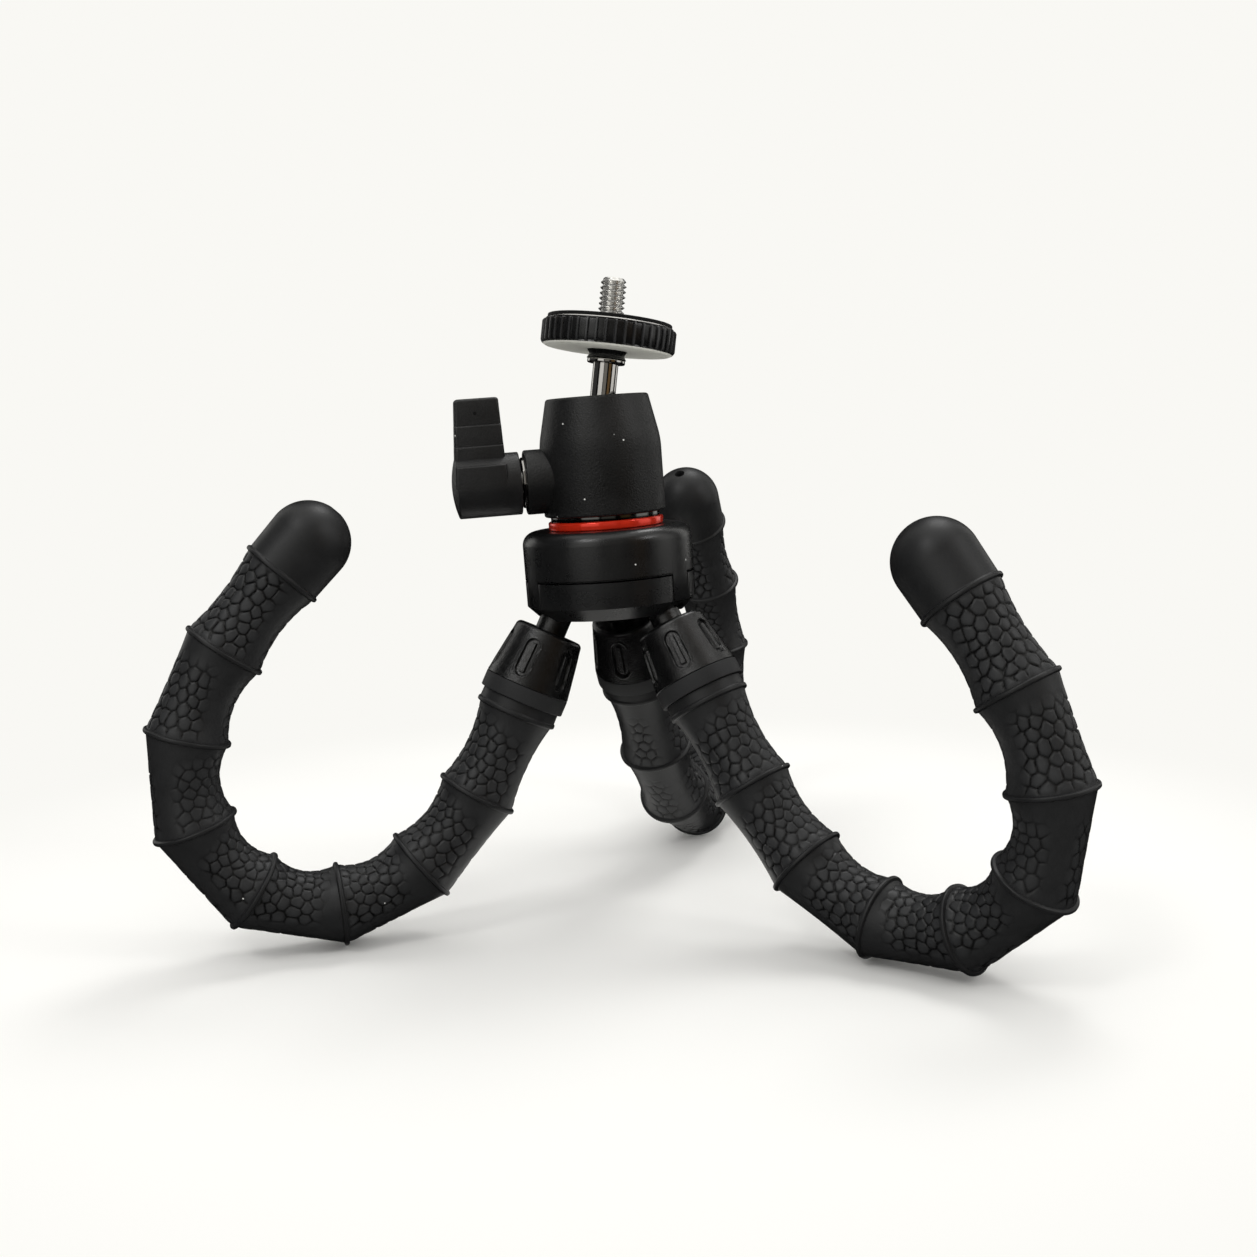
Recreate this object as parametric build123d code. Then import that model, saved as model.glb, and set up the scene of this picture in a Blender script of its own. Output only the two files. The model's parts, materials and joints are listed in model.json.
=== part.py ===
from build123d import *
import math
import os

# A small camera tripod with three bendable rubber legs and a ball head, standing on its curled legs.
# Lengths are millimetres and angles are degrees. Everything is first built in the hub's own frame, with the
# origin amid the three leg pivots and +Z along the hub's axis. At the end the hub leans as its legs hold it.

# General clearances
FIT = 0.05
GAP = 0.3
OVERRUN = 4.0

# How the hub leans, and how the legs stand
HUB_LEAN = 2.5
LEG_NAMES = ("left", "right", "back")
PIVOT_ANGLES = (207.0, 327.0, 87.0)
LEG_AIMS = (197.0, 324.0, 73.5)
SPLAY_LEFT = 28.3
SPLAY_CLOSED = 5.0
SPLAY_OPEN = 30.2
REST_BENDS = (
    (5.5, 20.5, 34.0, 39.0, 38.0, 32.5, 21.0, 6.5),
    (3.0, 14.5, 27.5, 35.0, 40.5, 38.0, 22.0, 5.5),
    (6.0, 19.5, 32.0, 38.0, 37.0, 31.5, 18.5, 5.0),
)
BEND_MOST = 44.0
BEND_ROOM = 3.0
HALVINGS = 40

# Leg ball studs
PIVOT_INSET = 9.8
STUD_BALL = 6.3
STUD_NECK = 3.8
STUD_HEAD_HEIGHT = 2.4
STUD_HEAD_ROOM = 0.6

# Leg collars, measured down the leg from its ball
COLLAR_TOP = 12.0
COLLAR_HEIGHT = 14.3
COLLAR_TOP_RADIUS = 8.6
COLLAR_RADIUS = 10.6
COLLAR_ROUND = 1.3
COLLAR_ROOF = 3.2
COLLAR_WALL = 0.9
COLLAR_BORE = 8.2
SLOT_COUNT = 6
SLOT_LENGTH = 9.6
SLOT_WIDTH = 3.8
SLOT_DEPTH = 0.7
SLOT_BAR = 1.2
SLOT_MIDDLE = 7.6
BAND_HEIGHT = 3.9

# Rubber sleeve of a leg: ribs, waists and the foot
RIB_RADIUS = 10.1
SLEEVE_RADIUS = 9.5
WAIST_RADIUS = 8.0
RIB_HALF = 0.8
RIB_SPACING = 22.2
CUFF_HEIGHT = 3.2
CUFF_RADIUS = 9.8
SPIGOT_HEIGHT = 9.0
CORE_RADIUS = 7.4
CORE_BEND = 9.0
WIRE_RADIUS = 1.75
FOOT_RADIUS = 9.8
FOOT_LENGTH = 19.5
FOOT_BORE = 5.0
FOOT_HOLE = 1.4
FOOT_HOLE_DEPTH = 4.0

# Hub
HUB_RADIUS = 21.0
HUB_BOTTOM = -7.4
HUB_CHAMFER = 3.1
SEAM_HEIGHT = 1.9
HUB_TOP = 13.9
HUB_SHOULDER = 3.3
HUB_WALL = 2.2
HUB_ROOF = 3.0
PANEL_HALF_ANGLE = 50.5
NECK_SLOT_RADIUS = 4.9
NECK_SLOT_STEPS = 4
POST_INSET = 6.6
POST_RADIUS = 3.0
SCREW_RADIUS = 1.4
SCREW_HEAD = 2.6
SCREW_HEAD_HEIGHT = 1.8
SCREW_REACH = 7.0
PLATE_TOP = 6.6
PLATE_ROOM = 1.0
HUB_STUD = 3.175
HUB_STUD_FLANGE = 6.0
HUB_STUD_FLANGE_HEIGHT = 2.4
HUB_STUD_RISE = 6.9

# Ring and washer under the head
RING_RADIUS = 14.2
RING_HEIGHT = 2.1
RING_EDGE = 0.35
WASHER_RADIUS = 13.5
WASHER_HEIGHT = 1.2

# Head housing
HOUSING_RADIUS = 15.0
HOUSING_STRAIGHT = 17.6
HOUSING_HEIGHT = 28.7
HOUSING_TOP_RADIUS = 12.6
HOUSING_BORE = 9.7
HOUSING_MOUTH = 7.4
HOUSING_EDGE = 0.9
BOSS_RADIUS = 7.9
BOSS_REACH = 19.2
BOSS_TURN = 10.0
LEVER_HEIGHT = 9.0
PLUG_HEIGHT = 4.3

# Ball and stem
BALL_RADIUS = 9.0
BALL_HEIGHT = 19.9
BALL_TILT = 10.4
BALL_TILT_ANGLE = 17.0
STEM_RADIUS = 3.1
STEM_LENGTH = 16.7
FLANGE_RADIUS = 4.65
FLANGE_HEIGHT = 1.1
FLANGE_EDGE = 0.3
LINER_BELOW = 2.6
LINER_ABOVE = 4.4
SEAT_RIM = 4.0
SEAT_STEM = 5.5

# Camera screw, with its locking disc and pad
CAMERA_SCREW = 3.175
CAMERA_SCREW_LENGTH = 19.6
CAMERA_SCREW_POINT = 0.6
CAMERA_SCREW_RELIEF = 0.35
DISC_NECK_RADIUS = 4.85
DISC_NECK_WAIST = 4.35
DISC_NECK_HEIGHT = 2.0
DISC_RADIUS = 16.5
DISC_HEIGHT = 6.6
DISC_RIBS = 44
DISC_RIB_DEPTH = 0.45
DISC_CHAMFER = 0.8
PAD_RADIUS = 15.3
PAD_HEIGHT = 0.9

# Clamp lever and its threaded pin
PIN_RADIUS = 2.8
PIN_REACH = 12.0
PIN_TIP = 1.7
BUSH_RADIUS = 4.2
BUSH_FLANGE = 6.2
BUSH_FLANGE_HEIGHT = 0.8
LEVER_RADIUS = 7.65
LEVER_LENGTH = 16.6
LEVER_DOME = 1.3
LEVER_ROOM = 0.45
WING_REACH = 21.2
WING_STEPS = (5.1, 9.8, 14.8)
WING_NEAR = 3.5
WING_NEAR_TIP = 4.9
WING_FAR = 15.95
WING_FAR_TIP = 14.45
WING_BASE = 14.6
WING_THICKNESS = 8.7
WING_STEP_DEPTH = 0.8

# Places that follow from the sizes
COLLAR_CAVITY = COLLAR_TOP_RADIUS - SLOT_DEPTH - COLLAR_WALL
STUD_HEAD = COLLAR_CAVITY - STUD_HEAD_ROOM
PIVOT_RADIUS = HUB_RADIUS - PIVOT_INSET
POST_CIRCLE = HUB_RADIUS - POST_INSET
PLATE_RADIUS = HUB_RADIUS - HUB_WALL - PLATE_ROOM
HALF_PITCH = 180 / len(LEG_NAMES)
NECK = COLLAR_TOP + COLLAR_HEIGHT + BAND_HEIGHT + CUFF_HEIGHT
HALF = RIB_SPACING / 2
GROOVE_ANGLE = math.radians((BEND_MOST + BEND_ROOM) / 2)
RING_BOTTOM = HUB_TOP
HOUSING_BOTTOM = HUB_TOP + RING_HEIGHT + WASHER_HEIGHT
BALL_Z = HOUSING_BOTTOM + BALL_HEIGHT
LEVER_Z = HOUSING_BOTTOM + LEVER_HEIGHT
LEVER_X = -(BOSS_REACH + BUSH_FLANGE_HEIGHT + LEVER_ROOM)


def lathe(start, *steps):
    """Turns an outline of (radius, height) points about Z. A step of two points is an arc through the first."""
    edges = []
    at = start
    for step in (*steps, start):
        points = step if isinstance(step[0], tuple) else (step,)
        corners = [(at[0], 0, at[1])] + [(r, 0, z) for r, z in points]
        edges.append(ThreePointArc(*corners) if len(corners) == 3 else Line(*corners))
        at = points[-1]
    return revolve(make_face(edges), Axis.Z)


def on_ball(radius, centre, angle):
    """A point of a circle about a centre on the axis, by its angle from +Z."""
    turn = math.radians(angle)
    return (radius * math.sin(turn), centre + radius * math.cos(turn))


def rod(radius, low, high):
    """A plain cylinder about Z between two heights."""
    return Pos(0, 0, low) * extrude(Circle(radius), high - low)


def sideways(shape):
    """Lays a shape that was built up +Z along the lever's axis, away from the head."""
    return Rot(0, 0, BOSS_TURN) * Pos(0, 0, LEVER_Z) * Rot(0, -90, 0) * shape


def unit(aim, angle):
    """The direction that leans by an angle from straight down toward an azimuth."""
    turn, lean = math.radians(aim), math.radians(angle)
    return Vector(math.cos(turn) * math.sin(lean), math.sin(turn) * math.sin(lean), -math.cos(lean))


def pivot(leg):
    """The centre of a leg's ball in the hub."""
    turn = math.radians(PIVOT_ANGLES[leg])
    return Vector(PIVOT_RADIUS * math.cos(turn), PIVOT_RADIUS * math.sin(turn), 0)


def along(leg, angle, origin):
    """A frame at a place on a leg: +Z down the leg, +X in its plane, outward."""
    direction = unit(LEG_AIMS[leg], angle)
    return Plane(origin=origin, x_dir=unit(LEG_AIMS[leg], angle + 90), z_dir=direction)


def chain(leg, splay):
    """The angles and centres of a leg's ribs, and the waists between them, from its splay and its bends."""
    angles, centres, waists = [splay], [pivot(leg) + unit(LEG_AIMS[leg], splay) * NECK], []
    for bend in REST_BENDS[leg]:
        waists.append(centres[-1] + unit(LEG_AIMS[leg], angles[-1]) * HALF)
        angles.append(angles[-1] + bend)
        centres.append(waists[-1] + unit(LEG_AIMS[leg], angles[-1]) * HALF)
    return angles, centres, waists


def leaned(point):
    """A point or direction of the hub's frame once the hub leans."""
    lean = math.radians(HUB_LEAN)
    across = point.X * math.cos(lean) - point.Z * math.sin(lean)
    return Vector(across, point.Y, point.X * math.sin(lean) + point.Z * math.cos(lean))


def lowest(leg, splay):
    """The height of the lowest rib edge of a leg under the hub's origin."""
    angles, centres, _ = chain(leg, splay)
    heights = []
    for angle, centre in zip(angles, centres):
        axis = leaned(unit(LEG_AIMS[leg], angle))
        heights.append(leaned(centre).Z - RIB_RADIUS * math.sqrt(1 - axis.Z**2))
    return min(heights)


def standing_splay(leg):
    """The splay at which a leg stands on the same floor as the left one, found by halving."""
    floor = lowest(0, SPLAY_LEFT)
    closed, wide = SPLAY_CLOSED, 2 * SPLAY_LEFT - SPLAY_CLOSED
    for _ in range(HALVINGS):
        middle = (closed + wide) / 2
        closed, wide = (middle, wide) if lowest(leg, middle) < floor else (closed, middle)
    return closed


SPLAYS = [SPLAY_LEFT if leg == 0 else standing_splay(leg) for leg in range(len(LEG_NAMES))]


# Legs


def leg_stud():
    """Ball in the hub, neck, and the head that holds the collar."""
    neck_start = math.sqrt(STUD_BALL**2 - STUD_NECK**2)
    head = COLLAR_TOP + COLLAR_ROOF + GAP
    return lathe(
        (0, -STUD_BALL),
        ((STUD_BALL, 0), (STUD_NECK, neck_start)),
        (STUD_NECK, head),
        (STUD_HEAD, head),
        (STUD_HEAD, head + STUD_HEAD_HEIGHT),
        (0, head + STUD_HEAD_HEIGHT),
    )


def collar_slots():
    """Rounded slots round the collar, each with a bar left standing in it."""
    slant = COLLAR_HEIGHT - COLLAR_ROUND
    slope = math.degrees(math.atan((COLLAR_RADIUS - COLLAR_TOP_RADIUS) / slant))
    fall = (SLOT_MIDDLE - COLLAR_ROUND) / slant
    radius = COLLAR_TOP_RADIUS + (COLLAR_RADIUS - COLLAR_TOP_RADIUS) * fall
    outline = SlotOverall(SLOT_LENGTH, SLOT_WIDTH) - Rectangle(SLOT_LENGTH - SLOT_WIDTH, SLOT_BAR)
    face = Pos(radius - SLOT_DEPTH, 0, COLLAR_TOP + SLOT_MIDDLE) * Rot(0, 90 + slope, 0) * outline
    cutter = extrude(face, OVERRUN)
    return [Rot(0, 0, 360 * k / SLOT_COUNT) * cutter for k in range(SLOT_COUNT)]


def collar():
    """Plastic cup that swivels on the stud and grips the sleeve."""
    bottom = COLLAR_TOP + COLLAR_HEIGHT
    pocket = bottom + BAND_HEIGHT - SPIGOT_HEIGHT - GAP
    hole = STUD_NECK + FIT
    shoulder = COLLAR_TOP_RADIUS - COLLAR_ROUND
    corner = on_ball(COLLAR_ROUND, COLLAR_TOP + COLLAR_ROUND, 135)
    cup = lathe(
        (hole, COLLAR_TOP),
        (shoulder, COLLAR_TOP),
        ((shoulder + corner[0], corner[1]), (COLLAR_TOP_RADIUS, COLLAR_TOP + COLLAR_ROUND)),
        (COLLAR_RADIUS, bottom),
        (COLLAR_BORE, bottom),
        (COLLAR_BORE, pocket),
        (COLLAR_CAVITY, pocket),
        (COLLAR_CAVITY, COLLAR_TOP + COLLAR_ROOF),
        (hole, COLLAR_TOP + COLLAR_ROOF),
    )
    return cup - collar_slots()


def band():
    """Satin ring between the collar and the rubber."""
    top = COLLAR_TOP + COLLAR_HEIGHT
    bottom = top + BAND_HEIGHT
    return rod(COLLAR_RADIUS, top, bottom) - rod(COLLAR_BORE, top - OVERRUN, bottom + OVERRUN)


def waist_cut():
    """Where a bead's end cone leaves its bore and meets its outside, from the bead's middle."""
    slope = math.tan(GROOVE_ANGLE)
    bore = CORE_RADIUS + FIT
    skin = HALF - WAIST_RADIUS * slope
    outside = sleeve_radius(skin)
    return (bore, HALF - bore * slope), (outside, HALF - outside * slope)


def sleeve_radius(height):
    """The hourglass: radius of the sleeve at a distance from a rib, least at the waist."""
    return WAIST_RADIUS + (SLEEVE_RADIUS - WAIST_RADIUS) * (HALF - height) / (HALF - RIB_HALF)


def half_bead():
    """Outline steps of a bead below its rib, from the rib's edge round to its bore."""
    inner, outer = waist_cut()
    return (SLEEVE_RADIUS, RIB_HALF), outer, inner


def mirrored(point):
    """The same outline point on the other side of the rib."""
    return (point[0], -point[1])


def bead():
    """One link of the sleeve: a rib with half an hourglass on each side, coned so that it bends on its core."""
    inner, outer = waist_cut()
    return lathe(
        mirrored(inner),
        mirrored(outer),
        (SLEEVE_RADIUS, -RIB_HALF),
        (RIB_RADIUS, 0),
        *half_bead(),
    )


def root():
    """Top of the sleeve: spigot inside the collar, cuff, first rib and half an hourglass."""
    bore = CORE_RADIUS + FIT
    spigot = COLLAR_BORE - FIT
    cuff = -CUFF_HEIGHT + FIT
    top = -CUFF_HEIGHT - SPIGOT_HEIGHT
    return lathe(
        (bore, top), (spigot, top), (spigot, cuff), (CUFF_RADIUS, cuff), (SLEEVE_RADIUS, -RIB_HALF),
        (RIB_RADIUS, 0), *half_bead(),
    )


def foot():
    """Last rib with the round rubber foot, and the moulding hole at its tip."""
    inner, outer = waist_cut()
    dome = FOOT_LENGTH - FOOT_RADIUS
    edge = math.degrees(math.asin(FOOT_HOLE / FOOT_RADIUS))
    return lathe(
        mirrored(inner),
        mirrored(outer),
        (SLEEVE_RADIUS, -RIB_HALF),
        (RIB_RADIUS, 0),
        (SLEEVE_RADIUS, RIB_HALF),
        (FOOT_RADIUS, dome),
        (on_ball(FOOT_RADIUS, dome, (90 + edge) / 2), on_ball(FOOT_RADIUS, dome, edge)),
        (FOOT_HOLE, FOOT_LENGTH - FOOT_HOLE_DEPTH),
        (0, FOOT_LENGTH - FOOT_HOLE_DEPTH),
        (0, FOOT_BORE),
        (CORE_RADIUS + FIT, FOOT_BORE),
    )


def core_path(leg, ends):
    """The core's line: straight inside each bead, and an arc at each waist."""
    angles, centres, waists = chain(leg, SPLAYS[leg])
    start = centres[0] - unit(LEG_AIMS[leg], angles[0]) * (CUFF_HEIGHT + SPIGOT_HEIGHT - ends)
    end = centres[-1] + unit(LEG_AIMS[leg], angles[-1]) * (FOOT_BORE - ends)
    return FilletPolyline(start, *waists, end, radius=CORE_BEND)


def core(leg):
    """Foam tube in the sleeve, which bends with the leg."""
    path = core_path(leg, GAP)
    return sweep((path ^ 0) * (Circle(CORE_RADIUS) - Circle(WIRE_RADIUS + FIT)), path=path)


def wire(leg):
    """Soft aluminium wire that holds the leg's bend."""
    path = core_path(leg, GAP)
    return sweep((path ^ 0) * Circle(WIRE_RADIUS), path=path)


def leg_parts(leg):
    """Every piece of one leg in place."""
    name = LEG_NAMES[leg]
    angles, centres, _ = chain(leg, SPLAYS[leg])
    top = along(leg, angles[0], pivot(leg)).location
    parts = {
        f"leg_stud_{name}": top * leg_stud(),
        f"leg_collar_{name}": top * collar(),
        f"leg_band_{name}": top * band(),
        f"sleeve_{name}_0": along(leg, angles[0], centres[0]).location * root(),
        f"foot_{name}": along(leg, angles[-1], centres[-1]).location * foot(),
        f"core_{name}": core(leg),
        f"wire_{name}": wire(leg),
    }
    for k in range(1, len(angles) - 1):
        parts[f"sleeve_{name}_{k}"] = along(leg, angles[k], centres[k]).location * bead()
    return parts


# Hub


def sector(half_angle, middle, low, high):
    """A wedge of a cylinder wider than the hub, between two heights."""
    reach = HUB_RADIUS + OVERRUN
    side = reach / math.cos(math.radians(half_angle))
    corners = [(0, 0)]
    for turn in (-half_angle, 0, half_angle):
        length = reach if turn == 0 else side
        corners.append((length * math.cos(math.radians(turn)), length * math.sin(math.radians(turn))))
    wedge = extrude(make_face(Polyline(*corners, close=True)), high - low)
    return Pos(0, 0, low) * Rot(0, 0, middle) * wedge


def panel_angles():
    """The azimuths midway between the legs, where the hub's panels and screws are."""
    return [angle + HALF_PITCH for angle in PIVOT_ANGLES]


def ball_sockets():
    """Round seats for the leg balls."""
    return [Pos(*pivot(leg)) * Sphere(STUD_BALL + FIT) for leg in range(len(LEG_NAMES))]


def neck_slots():
    """Openings under the balls in which the leg necks swing from closed to open."""
    cutters = []
    deep = COLLAR_TOP - GAP
    for leg in range(len(LEG_NAMES)):
        for k in range(NECK_SLOT_STEPS):
            angle = SPLAY_CLOSED + (SPLAY_OPEN - SPLAY_CLOSED) * k / (NECK_SLOT_STEPS - 1)
            frame = Plane(origin=pivot(leg), z_dir=unit(PIVOT_ANGLES[leg], angle))
            cutters.append(frame.location * rod(NECK_SLOT_RADIUS, 0, deep))
    return cutters


def screw_places():
    """Where the hub's posts and their screws stand."""
    return [Rot(0, 0, angle) * Pos(POST_CIRCLE, 0, 0) for angle in panel_angles()]


def hub_cover():
    """Upper shell of the hub, with a tab that comes down over each leg."""
    bore = HUB_RADIUS - HUB_WALL
    roof = HUB_TOP - HUB_ROOF
    bottom = HUB_BOTTOM + HUB_CHAMFER
    flat = HUB_RADIUS - HUB_SHOULDER
    round_out, round_up = on_ball(HUB_SHOULDER, HUB_TOP - HUB_SHOULDER, 45)
    shell = lathe(
        (HUB_STUD + FIT, HUB_TOP),
        (flat, HUB_TOP),
        ((flat + round_out, round_up), (HUB_RADIUS, HUB_TOP - HUB_SHOULDER)),
        (HUB_RADIUS, bottom),
        (bore, bottom),
        (bore, roof),
        (HUB_STUD + FIT, roof),
    )
    for middle in panel_angles():
        shell -= sector(PANEL_HALF_ANGLE, middle, bottom - OVERRUN, SEAM_HEIGHT)
    for place in screw_places():
        shell += place * rod(POST_RADIUS, SEAM_HEIGHT, roof)
        shell -= place * rod(SCREW_RADIUS + FIT, SEAM_HEIGHT - OVERRUN, SEAM_HEIGHT + SCREW_REACH + GAP)
    return shell


def hub_base():
    """Lower body of the hub: three outer panels, the ball seats and the openings for the necks."""
    body = lathe(
        (0, HUB_BOTTOM),
        (HUB_RADIUS - HUB_CHAMFER, HUB_BOTTOM),
        (HUB_RADIUS, HUB_BOTTOM + HUB_CHAMFER),
        (HUB_RADIUS, SEAM_HEIGHT - FIT),
        (0, SEAM_HEIGHT - FIT),
    )
    inside = HUB_RADIUS - HUB_WALL - FIT
    tab_half = HALF_PITCH - PANEL_HALF_ANGLE
    ring = rod(HUB_RADIUS + OVERRUN, HUB_BOTTOM + HUB_CHAMFER, SEAM_HEIGHT)
    ring -= rod(inside, HUB_BOTTOM, SEAM_HEIGHT)
    for angle in PIVOT_ANGLES:
        body -= ring & sector(tab_half + math.degrees(FIT / HUB_RADIUS), angle, HUB_BOTTOM, SEAM_HEIGHT)
    body -= ball_sockets() + neck_slots()
    for place in screw_places():
        body -= place * rod(SCREW_RADIUS + FIT, HUB_BOTTOM - OVERRUN, SEAM_HEIGHT + OVERRUN)
        body -= place * rod(SCREW_HEAD + FIT, HUB_BOTTOM - OVERRUN, HUB_BOTTOM + SCREW_HEAD_HEIGHT)
    return body


def hub_screws():
    """Three screws that hold the base to the cover's posts."""
    seat = HUB_BOTTOM + SCREW_HEAD_HEIGHT
    screw = rod(SCREW_HEAD, HUB_BOTTOM, seat) + rod(SCREW_RADIUS, seat, SEAM_HEIGHT + SCREW_REACH)
    return Compound([place * screw for place in screw_places()])


def clamp_plate():
    """Plate inside the hub that presses on the tops of the leg balls."""
    plate = rod(PLATE_RADIUS, SEAM_HEIGHT, PLATE_TOP)
    plate -= [rod(HUB_STUD_FLANGE, SEAM_HEIGHT, PLATE_TOP + OVERRUN), *ball_sockets()]
    for place in screw_places():
        plate -= place * rod(POST_RADIUS + FIT, SEAM_HEIGHT - OVERRUN, PLATE_TOP + OVERRUN)
    return plate


def hub_stud():
    """Threaded stud on which the head screws, with its flange under the cover's roof."""
    roof = HUB_TOP - HUB_ROOF
    flange = rod(HUB_STUD_FLANGE, roof - HUB_STUD_FLANGE_HEIGHT, roof)
    return flange + rod(HUB_STUD, roof, HUB_TOP + HUB_STUD_RISE)


def lock_ring():
    """Red ring under the head."""
    return lathe(
        (HUB_STUD + FIT, RING_BOTTOM),
        (RING_RADIUS - RING_EDGE, RING_BOTTOM),
        (RING_RADIUS, RING_BOTTOM + RING_EDGE),
        (RING_RADIUS, RING_BOTTOM + RING_HEIGHT - RING_EDGE),
        (RING_RADIUS - RING_EDGE, RING_BOTTOM + RING_HEIGHT),
        (HUB_STUD + FIT, RING_BOTTOM + RING_HEIGHT),
    )


def head_washer():
    """Bright washer between the ring and the housing."""
    low = RING_BOTTOM + RING_HEIGHT
    return rod(WASHER_RADIUS, low, low + WASHER_HEIGHT) - rod(HUB_STUD + FIT, low, low + WASHER_HEIGHT)


# Head


def housing():
    """Body of the ball head, tapered to its mouth, with the lever's boss on one side."""
    low, high = HOUSING_BOTTOM, HOUSING_BOTTOM + HOUSING_HEIGHT
    straight = low + HOUSING_STRAIGHT
    lip = BALL_Z + LINER_ABOVE
    body = lathe(
        (0, low),
        (HOUSING_RADIUS - HOUSING_EDGE, low),
        (HOUSING_RADIUS, low + HOUSING_EDGE),
        (HOUSING_RADIUS, straight),
        (HOUSING_TOP_RADIUS, high - HOUSING_EDGE),
        (HOUSING_TOP_RADIUS - HOUSING_EDGE, high),
        (0, high),
    )
    body += sideways(rod(BOSS_RADIUS, 0, BOSS_REACH))
    start = low - OVERRUN
    body -= lathe((0, start), (HOUSING_BORE, start), (HOUSING_BORE, lip), (HOUSING_MOUTH, high), (0, high))
    return body - sideways(rod(BUSH_RADIUS + FIT, 0, BOSS_REACH + OVERRUN))


def base_plug():
    """Threaded plug that closes the housing and takes the hub's stud."""
    low = HOUSING_BOTTOM
    high = low + PLUG_HEIGHT
    return rod(HOUSING_BORE - FIT, low, high) - rod(HUB_STUD + FIT, low - OVERRUN, high)


def ball_liner():
    """Thin bush round the ball, up to the housing's lip."""
    bore = BALL_RADIUS + FIT
    wall = HOUSING_BORE - FIT
    low, high = -LINER_BELOW, LINER_ABOVE - FIT
    top = (math.sqrt(bore**2 - high**2), BALL_Z + high)
    bottom = (math.sqrt(bore**2 - low**2), BALL_Z + low)
    return lathe((wall, BALL_Z + low), (wall, BALL_Z + high), top, ((bore, BALL_Z), bottom))


def ball_seat():
    """Cup under the ball, on a stem: the clamp pin's cone wedges its sloping underside upward."""
    bore = BALL_RADIUS + FIT
    wall = HOUSING_BORE - FIT
    top = BALL_Z - SEAT_RIM
    bottom = HOUSING_BOTTOM + PLUG_HEIGHT + GAP
    slope = LEVER_Z + PIN_RADIUS - PIN_TIP + 2 * GAP
    cup = math.degrees(math.acos(-SEAT_RIM / bore))
    return lathe(
        (0, bottom),
        (SEAT_STEM, bottom),
        (SEAT_STEM, slope),
        (wall, slope + wall - SEAT_STEM),
        (wall, top),
        (math.sqrt(bore**2 - SEAT_RIM**2), top),
        (on_ball(bore, BALL_Z, (cup + 180) / 2), (0, BALL_Z - bore)),
    )


def ball_frame(tilt):
    """Frame at the ball's centre, +Z up the stem."""
    turn, lean = math.radians(BALL_TILT_ANGLE), math.radians(tilt)
    direction = (math.cos(turn) * math.sin(lean), math.sin(turn) * math.sin(lean), math.cos(lean))
    return Plane(origin=(0, 0, BALL_Z), x_dir=(-math.sin(turn), math.cos(turn), 0), z_dir=direction)


def ball_stem():
    """Steel ball, stem and the flange that the disc rests on."""
    neck = math.sqrt(BALL_RADIUS**2 - STEM_RADIUS**2)
    top = STEM_LENGTH + FLANGE_HEIGHT
    return lathe(
        (0, -BALL_RADIUS),
        ((BALL_RADIUS, 0), (STEM_RADIUS, neck)),
        (STEM_RADIUS, STEM_LENGTH),
        (FLANGE_RADIUS - FLANGE_EDGE, STEM_LENGTH),
        (FLANGE_RADIUS, STEM_LENGTH + FLANGE_EDGE),
        (FLANGE_RADIUS, top),
        (0, top),
    )


def camera_screw():
    """Quarter-inch screw on the stem, at its full thread diameter, with a relief groove inside the pad."""
    low = STEM_LENGTH + FLANGE_HEIGHT
    high = low + CAMERA_SCREW_LENGTH
    groove = CAMERA_SCREW - CAMERA_SCREW_RELIEF
    return lathe(
        (0, low),
        (CAMERA_SCREW, low),
        (CAMERA_SCREW, pad_height()),
        (groove, pad_height()),
        (groove, pad_height() + PAD_HEIGHT),
        (CAMERA_SCREW, pad_height() + PAD_HEIGHT),
        (CAMERA_SCREW, high - CAMERA_SCREW_POINT),
        (CAMERA_SCREW - CAMERA_SCREW_POINT, high),
        (0, high),
    )


def knurl(radius, depth, count, low, high):
    """A prism with pointed ribs round it."""
    corners = []
    for k in range(2 * count):
        reach = radius - depth * (k % 2)
        corners.append((reach * math.cos(math.pi * k / count), reach * math.sin(math.pi * k / count)))
    return Pos(0, 0, low) * extrude(make_face(Polyline(*corners, close=True)), high - low)


def lock_disc():
    """Knurled nut on the camera screw, with its waisted neck."""
    neck = STEM_LENGTH + FLANGE_HEIGHT + FIT
    low = neck + DISC_NECK_HEIGHT
    high = low + DISC_HEIGHT
    rim = DISC_RADIUS - DISC_RIB_DEPTH
    body = lathe(
        (0, neck),
        (DISC_NECK_RADIUS, neck),
        (DISC_NECK_WAIST, neck + DISC_NECK_HEIGHT / 2),
        (DISC_NECK_RADIUS, low),
        (rim - DISC_CHAMFER, low),
        (rim, low + DISC_CHAMFER),
        (rim, high - DISC_CHAMFER),
        (rim - DISC_CHAMFER, high),
        (0, high),
    )
    body += knurl(DISC_RADIUS, DISC_RIB_DEPTH, DISC_RIBS, low + DISC_CHAMFER, high - DISC_CHAMFER)
    return body - rod(CAMERA_SCREW + FIT, neck - OVERRUN, high + OVERRUN)


def pad_height():
    """The height of the pad's underside over the ball's centre."""
    return STEM_LENGTH + FLANGE_HEIGHT + FIT + DISC_NECK_HEIGHT + DISC_HEIGHT


def disc_pad():
    """Thin rubber pad that the camera sits on."""
    low = pad_height()
    high = low + PAD_HEIGHT
    return rod(PAD_RADIUS, low, high) - rod(CAMERA_SCREW + GAP, low - OVERRUN, high + OVERRUN)


def clamp_bush():
    """Threaded bush in the boss, with the bright flange under the lever."""
    low = HOUSING_BORE + GAP
    tube = rod(BUSH_RADIUS, low, BOSS_REACH) + rod(BUSH_FLANGE, BOSS_REACH, BOSS_REACH + BUSH_FLANGE_HEIGHT)
    return sideways(tube - rod(PIN_RADIUS + FIT, 0, BOSS_REACH + OVERRUN))


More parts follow.
